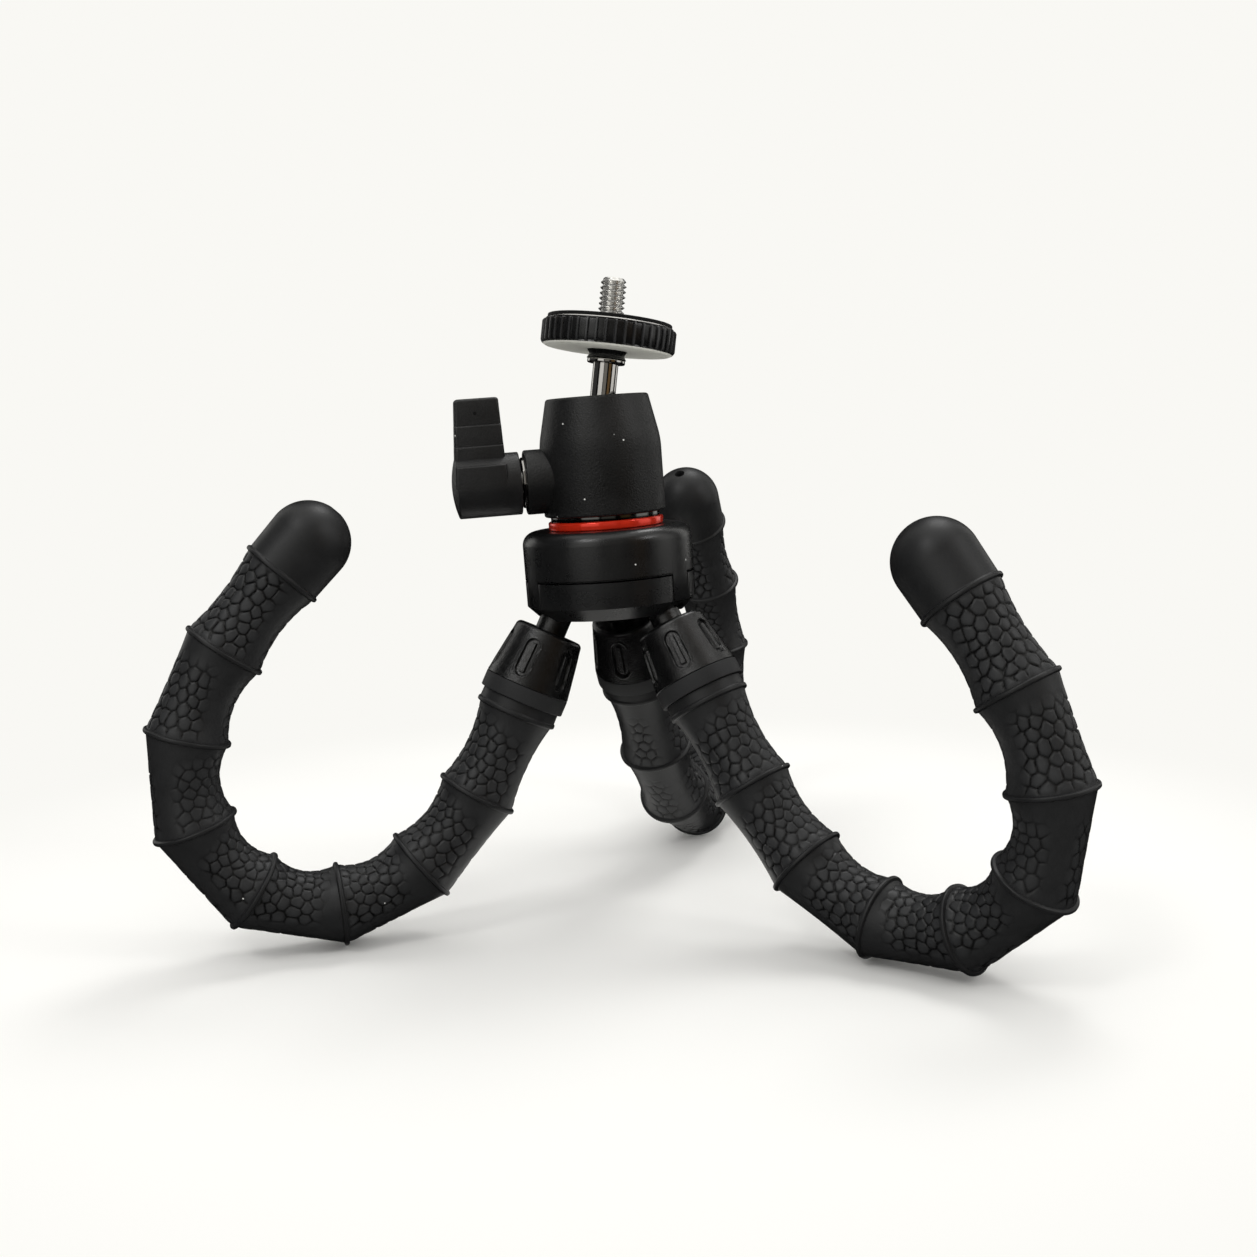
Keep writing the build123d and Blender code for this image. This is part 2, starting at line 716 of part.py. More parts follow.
def clamp_pin():
    """Threaded pin in the lever, coned at its tip."""
    tip = SEAT_STEM + GAP
    end = -LEVER_X + PIN_REACH
    flat = PIN_RADIUS - PIN_TIP
    return sideways(lathe((0, tip), (flat, tip), (PIN_RADIUS, tip + PIN_TIP), (PIN_RADIUS, end), (0, end)))


def wing_width(height):
    """Where the wing's inner and outer sides lie along the lever, at a height over its axis."""
    share = height / WING_REACH
    near = WING_NEAR + (WING_NEAR_TIP - WING_NEAR) * share
    far = WING_FAR + (WING_FAR_TIP - WING_FAR) * share
    return near, far


def lever():
    """Barrel with a domed end, and a wing with a base as wide as the barrel that gets thinner in steps."""
    crown = (LEVER_RADIUS**2 + LEVER_DOME**2) / (2 * LEVER_DOME)
    spread = math.degrees(math.asin(LEVER_RADIUS / crown))
    barrel = lathe(
        (0, 0),
        (LEVER_RADIUS, 0),
        (LEVER_RADIUS, LEVER_LENGTH - LEVER_DOME),
        (on_ball(crown, LEVER_LENGTH - crown, spread / 2), (0, LEVER_LENGTH)),
    )
    start = -LEVER_X
    body = sideways(Pos(0, 0, start) * barrel)
    levels = (0, *WING_STEPS, WING_REACH)
    for k in range(len(levels) - 1):
        low, high = levels[k], levels[k + 1]
        thick = WING_THICKNESS - k * WING_STEP_DEPTH if k else WING_BASE
        (near_low, far_low), (near_high, far_high) = wing_width(low), wing_width(high)
        corners = [(near_low, low), (far_low, low), (far_high, high), (near_high, high)]
        points = [(LEVER_X - x, -thick / 2, LEVER_Z + z) for x, z in corners]
        block = extrude(make_face(Polyline(*points, close=True)), thick, dir=(0, 1, 0))
        body += Rot(0, 0, BOSS_TURN) * block
    return body - sideways(rod(PIN_RADIUS + FIT, 0, start + PIN_REACH + GAP))


def head_parts():
    """Every piece of the hub and the head in place."""
    stem = ball_frame(BALL_TILT).location
    return {
        "hub_cover": hub_cover(),
        "hub_base": hub_base(),
        "hub_screws": hub_screws(),
        "clamp_plate": clamp_plate(),
        "hub_stud": hub_stud(),
        "lock_ring": lock_ring(),
        "head_washer": head_washer(),
        "housing": housing(),
        "base_plug": base_plug(),
        "ball_liner": ball_liner(),
        "ball_seat": ball_seat(),
        "ball_stem": stem * ball_stem(),
        "camera_screw": stem * camera_screw(),
        "lock_disc": stem * lock_disc(),
        "disc_pad": stem * disc_pad(),
        "clamp_bush": clamp_bush(),
        "clamp_pin": clamp_pin(),
        "lever": lever(),
    }


def standing_place(parts):
    """The move that leans the hub and puts the origin under the middle of the whole, on the floor."""
    lean = Rot(0, -HUB_LEAN, 0)
    box = Compound([lean * part for part in parts.values()]).bounding_box()
    middle = box.center()
    return Pos(-middle.X, -middle.Y, -box.min.Z) * lean


PARTS = head_parts()
for number in range(len(LEG_NAMES)):
    PARTS.update(leg_parts(number))
STANDING = standing_place(PARTS)

os.makedirs("parts", exist_ok=True)
for node, solid in PARTS.items():
    export_step(STANDING * solid, f"parts/{node}.step")
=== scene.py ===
"""Looks of a small camera tripod with three bendable rubber legs and a ball head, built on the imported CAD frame.

It is laid out as an add-on and run as a script. Lengths are metres, in the frame's own axes: +Z up, seen from -Y.
The corners of turned pieces are given in millimetres.
"""

import json
import math

import bmesh
import bpy
import numpy as np
from bpy.props import FloatProperty, FloatVectorProperty, PointerProperty
from mathutils import Matrix, Vector


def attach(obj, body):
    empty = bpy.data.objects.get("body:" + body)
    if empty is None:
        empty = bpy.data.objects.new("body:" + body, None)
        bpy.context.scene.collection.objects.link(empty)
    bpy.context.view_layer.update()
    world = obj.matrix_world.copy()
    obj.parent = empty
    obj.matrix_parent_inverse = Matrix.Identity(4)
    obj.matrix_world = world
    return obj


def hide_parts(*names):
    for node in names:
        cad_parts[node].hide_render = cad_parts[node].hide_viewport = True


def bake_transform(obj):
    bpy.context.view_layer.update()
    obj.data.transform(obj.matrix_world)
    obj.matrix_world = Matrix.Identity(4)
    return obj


bl_info = {
    "name": "Flexible Leg Tripod",
    "version": (1, 0, 0),
    "blender": (4, 5, 0),
    "location": "3D View > Sidebar > Tripod",
    "description": "Rubber legs, hub, ball head and studio for a small bendable tripod",
    "category": "Object",
}

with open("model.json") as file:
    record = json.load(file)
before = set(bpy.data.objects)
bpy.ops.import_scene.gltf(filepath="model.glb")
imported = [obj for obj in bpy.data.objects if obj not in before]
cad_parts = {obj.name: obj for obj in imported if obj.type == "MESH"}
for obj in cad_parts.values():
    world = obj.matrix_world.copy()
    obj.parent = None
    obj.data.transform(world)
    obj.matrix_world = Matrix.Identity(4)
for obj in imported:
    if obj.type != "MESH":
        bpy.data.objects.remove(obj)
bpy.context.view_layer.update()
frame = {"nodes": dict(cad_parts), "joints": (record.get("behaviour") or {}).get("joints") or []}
JOINTS = {joint["name"]: joint for joint in frame["joints"]}

MM = 0.001
FULL_TURN = 2 * math.pi
LEG_NAMES = ("left", "right", "back")
BENDS = 8

# Along a leg: half the way from rib to rib, where the collar starts below the ball, and the collar and the band
HALF_PITCH = 0.0111
COLLAR_TOP = 0.0120
COLLAR_HEIGHT = 0.0143
BAND_HEIGHT = 0.0039

# Heights over the middle of the leg pivots, along the hub's axis
HUB_BOTTOM = -0.0074
SEAM_HEIGHT = 0.0019
HUB_TOP = 0.0139
RING_HEIGHT = 0.0021
WASHER_HEIGHT = 0.0012
HOUSING_BOTTOM = HUB_TOP + RING_HEIGHT + WASHER_HEIGHT
LEVER_HEIGHT = HOUSING_BOTTOM + 0.0090

# Parts of the knurled disc: its neck and its rim
DISC_NECK_HEIGHT = 0.0020
DISC_HEIGHT = 0.0066
DISC_RIBS = 44

# A leg's rib, in millimetres: half its width at the root and on the crest, and how its crest is rounded
RIB_ROOT = 0.66
RIB_CREST = 0.42
RIB_ROUND = 0.4

# Rubber: how many scales go round a leg, how long its girth is there, and how finely a skin is drawn
SCALE_COLUMNS = 18
SKIN_GIRTH = 0.0565
SKIN_ROWS = 84
SKIN_COLUMNS = 200

# Relief that the rubber's finish reads, from 0 in a groove to 1 on a scale: on smooth skin, and on ribs and feet.
# The finish paints low relief black, a painted shade, and high relief lighter, a painted highlight
SMOOTH_RELIEF = 0.7
RIB_RELIEF = 0.58

# One value for each skin, from the collar to the foot: where the smooth stripe on each side lies and how wide it is,
# in degrees round from the inside of the bend, how strongly the scales stand out, and where along the skin they start.
# From skin FIRST_UPWARD on the leg climbs again, and that start is counted from the rib nearer the foot.
STRIPES = (140, 138, 134, 132, 130, 128, 56, 46)
STRIPE_WIDTHS = (24, 24, 24, 24, 24, 24, 28, 26)
STRENGTHS = (0.85, 0.85, 0.9, 0.9, 0.85, 0.6, 0.85, 1.0)
STARTS = (0.1, 0.1, 0.1, 0.1, 0.1, 0.06, 0.02, -0.2)
FIRST_UPWARD = 4

# Colour of dust points, and the near black that the grooved finishes paint where the relief is low: into the grooves
# between scales as painted shade, and over the disc away from its rib crests
DUST = (0.55, 0.55, 0.53)
GROOVE_SHADE = (0.0034, 0.0034, 0.0036)

# Cards of the studio, seen only in gloss, which glow in their colours as painted reflections: the black and dark ones
# keep reflections dark, and the warm and dim ones show in metal. From one direction to another in degrees round from
# +X, and the colour
BLACK_PAINTED_REFLECTION = (0.003, 0.003, 0.003)
DARK_PAINTED_REFLECTION = (0.05, 0.05, 0.05)
WARM_PAINTED_REFLECTION = (0.16, 0.10, 0.045)
DIM_PAINTED_REFLECTION = (0.22, 0.21, 0.19)
CARDS = (
    (-101, -96, BLACK_PAINTED_REFLECTION),
    (-96, -68, DIM_PAINTED_REFLECTION),
    (-68, -56, BLACK_PAINTED_REFLECTION),
    (-56, -34, WARM_PAINTED_REFLECTION),
    (-34, -20, BLACK_PAINTED_REFLECTION),
    (12, 32, BLACK_PAINTED_REFLECTION),
    (52, 128, BLACK_PAINTED_REFLECTION),
    (150, 205, DARK_PAINTED_REFLECTION),
    (205, 222, BLACK_PAINTED_REFLECTION),
)

# How far out the cards stand, where the black sheet under them starts, their heights over the floor, and how many
# corners an arc of them has
CARD_REACH = 1.7
SHEET_START = 0.05
CARD_BOTTOM = 0.004
SHEET_BOTTOM = 0.002
CARD_CORNERS = 24

# Floor: half its side, and between which distances from the middle it turns into the background
FLOOR_HALF = 4
FLOOR_FADE = (0.11, 0.25)

# Soft lamps: the spot and the side of each, and the point that they all shine at
LAMPS = {
    "key": ((-0.45, -0.6, 0.95), 0.24),
    "side": ((0.8, -0.4, 0.7), 0.2),
    "top": ((0.22, 0.45, 1.0), 0.34),
}
LAMP_AIM = (0, 0, 0.06)


# Directions and places


def unit(vector):
    """A vector at length one."""
    vector = np.asarray(vector, dtype=float)
    return vector / np.linalg.norm(vector)


class Place:
    """A spot with three directions: x and y across, z along."""

    def __init__(self, origin, x, z):
        self.origin = np.asarray(origin, dtype=float)
        self.z = unit(z)
        self.x = unit(np.asarray(x) - np.dot(x, self.z) * self.z)
        self.y = np.cross(self.z, self.x)

    def at(self, x, y, z):
        """Point = origin + x, y and z times their directions, for whole arrays."""
        x, y, z = np.broadcast_arrays(x, y, z)
        return self.origin + x[..., None] * self.x + y[..., None] * self.y + z[..., None] * self.z

    def moved(self, along):
        """The same directions at a spot further along z."""
        return Place(self.origin + along * self.z, self.x, self.z)


class Leg:
    """Where a leg's pivot, collar, ribs and waists are, read from its joints."""

    def __init__(self, name):
        self.name = name
        joint = JOINTS[f"swivel_{name}"]
        self.pivot = np.array(joint["pos_m"])
        self.normal = unit(JOINTS[f"splay_{name}"]["axis"])
        bends = [JOINTS[f"bend_{name}_{k}"] for k in range(1, BENDS + 1)]
        self.angles = [-math.radians(bend["range_deg"][0]) for bend in bends]
        waists = [np.array(bend["pos_m"]) for bend in bends]
        lines = [unit(joint["axis"])]
        lines += [unit(waists[k + 1] - waists[k]) for k in range(BENDS - 1)]
        turn = Matrix.Rotation(self.angles[-1], 3, Vector(self.normal))
        lines.append(np.array(turn @ Vector(lines[-1])))
        middles = [waists[0] - HALF_PITCH * lines[0]]
        middles += [(waists[k] + waists[k + 1]) / 2 for k in range(BENDS - 1)]
        middles.append(waists[-1] + HALF_PITCH * lines[-1])
        self.ribs = [Place(c, np.cross(self.normal, d), d) for c, d in zip(middles, lines)]
        self.top = Place(self.pivot, self.ribs[0].x, self.ribs[0].z)


LEGS = [Leg(name) for name in LEG_NAMES]
UP = unit(JOINTS["head_turn"]["axis"])
HUB = Place(np.mean([leg.pivot for leg in LEGS], axis=0), np.cross((0, 1, 0), UP), UP)
OUT = unit(JOINTS["pin_travel"]["axis"])
LEVER = Place(JOINTS["lever_turn"]["pos_m"], UP, OUT)
BOSS = Place(HUB.at(0.0, 0.0, LEVER_HEIGHT), UP, OUT)
STEM = unit(JOINTS["disc_turn"]["axis"])
BALL = Place(JOINTS["disc_turn"]["pos_m"], (1, 0, 0), STEM)


# Meshes from whole arrays


def added(name, data):
    """A new object of the scene, at the origin, from a mesh, a lamp's or a camera's data."""
    piece = bpy.data.objects.new(name, data)
    bpy.context.scene.collection.objects.link(piece)
    return piece


def ramp(value, low, high):
    """Zero below low, one above high, and the smooth cubic 3t^2 - 2t^3 between them."""
    share = np.clip((value - low) / (high - low), 0, 1)
    return share * share * (3 - 2 * share)


def around(columns):
    """Angles right round, as one row, without the last that repeats the first."""
    return np.linspace(0, FULL_TURN, columns, endpoint=False)[None, :]


def grid_faces(rows, columns, looped):
    """Four corner numbers for each cell of a grid that closes round its columns, and round its rows if looped."""
    low = np.arange(rows if looped else rows - 1)
    high = (low + 1) % rows
    left = np.arange(columns)
    right = (left + 1) % columns
    cells = np.stack(
        [
            low[:, None] * columns + left,
            low[:, None] * columns + right,
            high[:, None] * columns + right,
            high[:, None] * columns + left,
        ],
        axis=-1,
    )
    return cells.reshape(-1, 4)


def pole_faces(ring, pole, low):
    """Triangles from a ring of corners to a pole."""
    after = np.roll(ring, -1)
    points = np.full(len(ring), pole)
    order = (after, ring, points) if low else (ring, after, points)
    return np.stack(order, axis=-1)


def signed_volume(points, quads, triangles):
    """Six times the volume inside: the sum over faces of corner . (corner x corner)."""
    faces = np.concatenate([quads[:, :3], quads[:, [0, 2, 3]], triangles])
    a, b, c = (points[faces[:, k]] for k in range(3))
    return float(np.einsum("ij,ij->", a, np.cross(b, c)))


def surface(name, grid, poles=None, sharp=0.6, values=None):
    """A closed mesh object from a grid of points: rows along it, columns round it.

    The rows close on themselves, or run between two poles where these are given.
    """
    rows, columns = grid.shape[:2]
    points = grid.reshape(-1, 3)
    quads = grid_faces(rows, columns, poles is None)
    triangles = np.empty((0, 3), dtype=int)
    if poles is not None:
        count = len(points)
        points = np.concatenate([points, np.stack(poles)])
        first = np.arange(columns)
        triangles = np.concatenate(
            [pole_faces(first, count, True), pole_faces(first + (rows - 1) * columns, count + 1, False)]
        )
    centred = points - points.mean(axis=0)
    if signed_volume(centred, quads, triangles) < 0:
        quads, triangles = quads[:, ::-1], triangles[:, ::-1]
    corners = np.concatenate([quads.ravel(), triangles.ravel()])
    sizes = np.concatenate([np.full(len(quads), 4), np.full(len(triangles), 3)])
    starts = np.concatenate([[0], np.cumsum(sizes)[:-1]])
    mesh = bpy.data.meshes.new(name)
    mesh.vertices.add(len(points))
    mesh.vertices.foreach_set("co", points.astype(np.float32).ravel())
    mesh.loops.add(len(corners))
    mesh.loops.foreach_set("vertex_index", corners.astype(np.int32))
    mesh.polygons.add(len(sizes))
    mesh.polygons.foreach_set("loop_start", starts.astype(np.int32))
    for label, array in (values or {}).items():
        flat = np.concatenate([array.ravel(), np.zeros(len(points) - array.size)])
        attribute = mesh.attributes.new(label, "FLOAT", "POINT")
        attribute.data.foreach_set("value", flat.astype(np.float32))
    mesh.update(calc_edges=True)
    mesh.shade_smooth()
    mesh.set_sharp_from_angle(angle=sharp)
    return added(name, mesh)


def rounded(corners, looped=False, steps=6):
    """Outline of straight runs whose corners (across, along, radius) are arcs that touch both runs."""
    count = len(corners)
    places = np.array([corner[:2] for corner in corners], dtype=float)
    outline = []
    for k, (_, _, radius) in enumerate(corners):
        here = places[k]
        if radius == 0 or (not looped and k in (0, count - 1)):
            outline.append(here[None])
            continue
        back = unit(places[k - 1] - here)
        on = unit(places[(k + 1) % count] - here)
        half = math.acos(np.clip(np.dot(back, on), -1, 1)) / 2
        centre = here + unit(back + on) * radius / math.sin(half)
        start = here + back * radius / math.tan(half) - centre
        end = here + on * radius / math.tan(half) - centre
        first = math.atan2(start[1], start[0])
        sweep = (math.atan2(end[1], end[0]) - first + math.pi) % FULL_TURN - math.pi
        turn = first + sweep * np.linspace(0, 1, steps)
        outline.append(centre + radius * np.stack([np.cos(turn), np.sin(turn)], axis=-1))
    return np.concatenate(outline)


def turned(name, place, corners, columns=144, looped=False, steps=6, sharp=0.6):
    """A turned piece: point = origin + height * z + radius * (cos t * x + sin t * y), t right round."""
    outline = rounded([tuple(size * MM for size in corner) for corner in corners], looped, steps)
    poles = None
    if not looped:
        poles = place.at(0.0, 0.0, outline[[0, -1], 1])
        outline = outline[1:-1]
    turn = around(columns)
    radius, height = outline[:, :1], outline[:, 1:]
    grid = place.at(radius * np.cos(turn), radius * np.sin(turn), height)
    return surface(name, grid, poles, sharp)


def settle(piece, finish, body, slot, *nodes):
    """Gives a finished piece its finish and its body, and hides the CAD nodes that it stands for. Its slot is not used.

    A piece that is blended between two bodies has no body of its own here.
    """
    piece.data.materials.append(FINISHES[finish])
    if body is not None:
        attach(piece, body)
    if nodes:
        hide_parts(*nodes)


# Finishes


GROUPS = {}
FINISHES = {}


def node(tree, kind, values=None, **settings):
    """A new node of a tree with its settings, and for each input named or numbered a value or an output."""
    made = tree.nodes.new(kind)
    for key, value in settings.items():
        setattr(made, key, value)
    for key, value in (values or {}).items():
        if isinstance(value, bpy.types.NodeSocket):
            tree.links.new(value, made.inputs[key])
        else:
            made.inputs[key].default_value = value
    return made


def maths(tree, operation, first, second):
    """The output of a Math node on two values or outputs."""
    return node(tree, "ShaderNodeMath", {0: first, 1: second}, operation=operation).outputs[0]


def group_tree(name, inputs, outputs):
    """An empty shader group with float inputs that have defaults, and float outputs."""
    tree = bpy.data.node_groups.new(name, "ShaderNodeTree")
    for label, value in inputs.items():
        socket = tree.interface.new_socket(label, in_out="INPUT", socket_type="NodeSocketFloat")
        socket.default_value = value
    for label in outputs:
        tree.interface.new_socket(label, in_out="OUTPUT", socket_type="NodeSocketFloat")
    return tree, tree.nodes.new("NodeGroupInput"), tree.nodes.new("NodeGroupOutput")


def grain_group():
    """Moulded grain: fine pits for Height, slow patches for Mottle, and a few dust points for Specks."""
    tree, given, put = group_tree("Moulded grain", {"Scale": 2500.0, "Dust": 0.1}, ("Height", "Mottle", "Specks"))
    scale = given.outputs["Scale"]
    place = node(tree, "ShaderNodeTexCoord").outputs["Object"]
    pits = node(tree, "ShaderNodeTexNoise", {"Vector": place, "Scale": scale, "Detail": 3.0, "Roughness": 0.55})
    wide = maths(tree, "MULTIPLY", scale, 0.045)
    patches = node(tree, "ShaderNodeTexNoise", {"Vector": place, "Scale": wide, "Detail": 4.0, "Roughness": 0.6})
    mottle = node(tree, "ShaderNodeMapRange", {"Value": patches.outputs["Fac"], "From Min": 0.3, "From Max": 0.7})
    cells = node(tree, "ShaderNodeTexVoronoi", {"Vector": place, "Scale": 420.0})
    near = maths(tree, "LESS_THAN", cells.outputs["Distance"], 0.09)
    pick = node(tree, "ShaderNodeSeparateColor", {"Color": cells.outputs["Color"]})
    few = maths(tree, "LESS_THAN", pick.outputs["Red"], given.outputs["Dust"])
    tree.links.new(pits.outputs["Fac"], put.inputs["Height"])
    tree.links.new(mottle.outputs["Result"], put.inputs["Mottle"])
    tree.links.new(maths(tree, "MULTIPLY", near, few), put.inputs["Specks"])
    return tree


def bare_tree(owner):
    """The empty node tree of a new material or world."""
    owner.use_nodes = True
    owner.node_tree.nodes.clear()
    return owner.node_tree


def bare_material(name):
    """A material with only its Principled shader and output, and the tree to add nodes to."""
    material = bpy.data.materials.new(name)
    tree = bare_tree(material)
    shader = node(tree, "ShaderNodeBsdfPrincipled")
    node(tree, "ShaderNodeOutputMaterial", {"Surface": shader.outputs["BSDF"]})
    return material, tree, shader


def colour_mix(tree, factor, low, high):
    """The colour between low and high, each a colour or an output, by the factor output."""
    low, high = (end if isinstance(end, bpy.types.NodeSocket) else (*end, 1.0) for end in (low, high))
    return node(tree, "ShaderNodeMix", {0: factor, 6: low, 7: high}, data_type="RGBA").outputs[2]


def add_grain(tree, shader, rough, grain, bump, dust):
    """Moulded grain on a shader: its patches vary the roughness, its pits the normal. Puts out patches and specks."""
    effect = node(tree, "ShaderNodeGroup", {"Scale": grain, "Dust": dust}, node_tree=GROUPS["grain"])
    mottle, specks = effect.outputs["Mottle"], effect.outputs["Specks"]
    span = node(tree, "ShaderNodeMapRange", {"Value": mottle, "To Min": rough[0], "To Max": rough[1]})
    pits = node(tree, "ShaderNodeBump", {"Height": effect.outputs["Height"], "Distance": bump, "Strength": 1.0})
    tree.links.new(span.outputs["Result"], shader.inputs["Roughness"])
    tree.links.new(pits.outputs["Normal"], shader.inputs["Normal"])
    return mottle, specks


def grained(name, colour, other, rough, grain=2500.0, bump=0.00002, dust=0.0, metallic=0.0, level=0.3):
    """A finish of two close colours in slow patches, a roughness range and fine moulded grain."""
    material, tree, shader = bare_material(name)
    shader.inputs["Metallic"].default_value = metallic
    shader.inputs["Specular IOR Level"].default_value = level
    mottle, specks = add_grain(tree, shader, rough, grain, bump, dust)
    patched = colour_mix(tree, mottle, colour, other)
    tree.links.new(colour_mix(tree, specks, patched, DUST), shader.inputs["Base Color"])
    return material


def metal(name, colour, other, rough, bump=0.000002, metallic=1.0):
    """A bare metal in two close colours, with hardly any grain."""
    return grained(name, colour, other, rough, bump=bump, metallic=metallic, level=0.5)


def grooved(name, colour, other, rough, level, dark):
    """A finish whose two colours turn black in grooves, where the mesh's relief falls to the value given, as painted
    shade, and show in full on the highest relief as painted highlight.
    """
    material, tree, shader = bare_material(name)
    shader.inputs["Specular IOR Level"].default_value = level
    mottle, specks = add_grain(tree, shader, rough, 3200.0, 0.00002, 0.02)
    relief = node(tree, "ShaderNodeAttribute", attribute_name="relief")
    tops = node(tree, "ShaderNodeMapRange", {"Value": relief.outputs["Fac"], "From Min": dark, "From Max": 1.0})
    patched = colour_mix(tree, mottle, colour, other)
    # Painted shade where the relief is low, and the full, lighter colour as painted highlight where it is high
    shaded = colour_mix(tree, tops.outputs["Result"], GROOVE_SHADE, patched)
    tree.links.new(colour_mix(tree, specks, shaded, DUST), shader.inputs["Base Color"])
    return material


def times(colour, share):
    """A colour made paler or darker by a share."""
    return tuple(share * value for value in colour)


def make_finishes(looks):
    """Every finish of the object, by a short name."""
    GROUPS["grain"] = grain_group()
    black, soft, red = looks.black, looks.rubber, looks.ring
    deep = times(black, 0.35)
    FINISHES.update(
        shell=grained("shell plastic", black, times(black, 1.5), (0.24, 0.34), 2800.0, 0.00003, 0.02, level=0.6),
        collar=grained("collar plastic", deep, black, (0.15, 0.25), 3400.0, 0.00009, 0.01, level=0.7),
        band=grained("band plastic", times(black, 3.0), times(black, 3.8), (0.5, 0.6), 2800.0),
        housing=grained(
            "housing paint", times(black, 0.9), times(black, 1.5), (0.36, 0.48), 2200.0, 0.00012, 0.25, level=0.5
        ),
        lever=grained(
            "lever plastic", times(black, 1.3), times(black, 2.0), (0.34, 0.46), 2400.0, 0.0001, 0.08, level=0.6
        ),
        pad=grained("pad rubber", deep, black, (0.6, 0.7), 2200.0, level=0.25),
        ring=grained("red anodised", red, times(red, 0.8), (0.12, 0.2), bump=0.000004, metallic=0.4, level=0.7),
        face=grained(
            "turned face", (0.74, 0.74, 0.68), (0.8, 0.8, 0.74), (0.35, 0.45), 2600.0, 0.000008, metallic=0.2, level=0.5
        ),
        # Rubber colours raised above the rubber's own, so that scale tops read lighter than the smooth skin: a painted
        # highlight
        rubber=grooved("leg rubber", times(soft, 1.7), times(soft, 2.3), (0.4, 0.52), 0.4, 0.28),
        # The disc shows its lighter colour only on its rib crests, a painted highlight; elsewhere it stays near the
        # groove's black
        disc=grooved("disc anodised", (0.03, 0.03, 0.031), (0.045, 0.045, 0.046), (0.24, 0.32), 0.5, 0.1),
        steel=metal("bright steel", (0.62, 0.61, 0.59), (0.72, 0.71, 0.69), (0.2, 0.3), 0.000004),
        chrome=metal("chrome steel", (0.48, 0.47, 0.45), (0.54, 0.52, 0.5), (0.06, 0.12)),
        # The washer's steel is darkened, a painted shade of its recess between the housing and the ring
        washer=metal("dark steel", (0.09, 0.09, 0.085), (0.13, 0.13, 0.125), (0.1, 0.16)),
        screw=metal("screw steel", (0.78, 0.77, 0.74), (0.86, 0.85, 0.82), (0.16, 0.24), metallic=0.85),
    )


# Rubber legs


def scale_field(along, turn, seed):
    """How far each point is from a scale's middle and from its edge.

    The middles are a staggered grid, pushed a little at random. The first distance is to the nearest middle, and
    the second is how much further the next nearest is, both wrapped round the leg.
    """
    girth = SKIN_GIRTH
    pitch = girth / SCALE_COLUMNS
    rise = pitch * math.sqrt(3) / 2
    rows = int(2 * HALF_PITCH / rise) + 3
    push = 0.25
    random = np.random.default_rng(seed)
    row, column = np.meshgrid(np.arange(rows), np.arange(SCALE_COLUMNS), indexing="ij")
    middles_along = (row - 0.5) * rise + random.uniform(-push, push, row.shape) * pitch
    middles_round = (column + 0.5 * (row % 2)) * pitch + random.uniform(-push, push, row.shape) * pitch
    high = along[:, None, None] - middles_along.ravel()
    wide = (turn / FULL_TURN * girth)[None, :, None] - middles_round.ravel()
    wide = (wide + girth / 2) % girth - girth / 2
    distance = np.partition(np.hypot(high, wide), 1, axis=-1)
    return distance[..., 0], distance[..., 1] - distance[..., 0]


def scale_relief(along, turn, k, seed):
    """Height of the scales from 0 in a groove to 1 on a top, and how strongly they stand out at each point.

    A scale is a dome with a groove where two middles are as near. The scales fade out towards the rib that is
    above them on the standing leg, later on its sides, and along a smooth stripe on each side, which narrows away
    from that rib.
    """
    near, edge = scale_field(along, turn, seed)
    groove_edge, dome_radius, dome_fall = (0.00006, 0.0006), 0.0019, 0.36
    height = ramp(edge, *groove_edge) * (1 - dome_fall * np.clip(near / dome_radius, 0, 1) ** 2)
    off = np.abs((turn + math.pi) % FULL_TURN - math.pi)[None, :]
    share = (along / (2 * HALF_PITCH))[:, None]
    share = 1 - share if k >= FIRST_UPWARD else share
    width = math.radians(STRIPE_WIDTHS[k]) * (1.3 - 0.6 * share)
    stripe = 1 - ramp(np.abs(off - math.radians(STRIPES[k])), 0.55 * width, 1.35 * width)
    start = STARTS[k] + 0.16 * ramp(off, math.radians(20), math.radians(100))
    strength = STRENGTHS[k] * ramp(share, start - 0.08, start + 0.16) * (1 - 0.94 * stripe)
    return height, strength


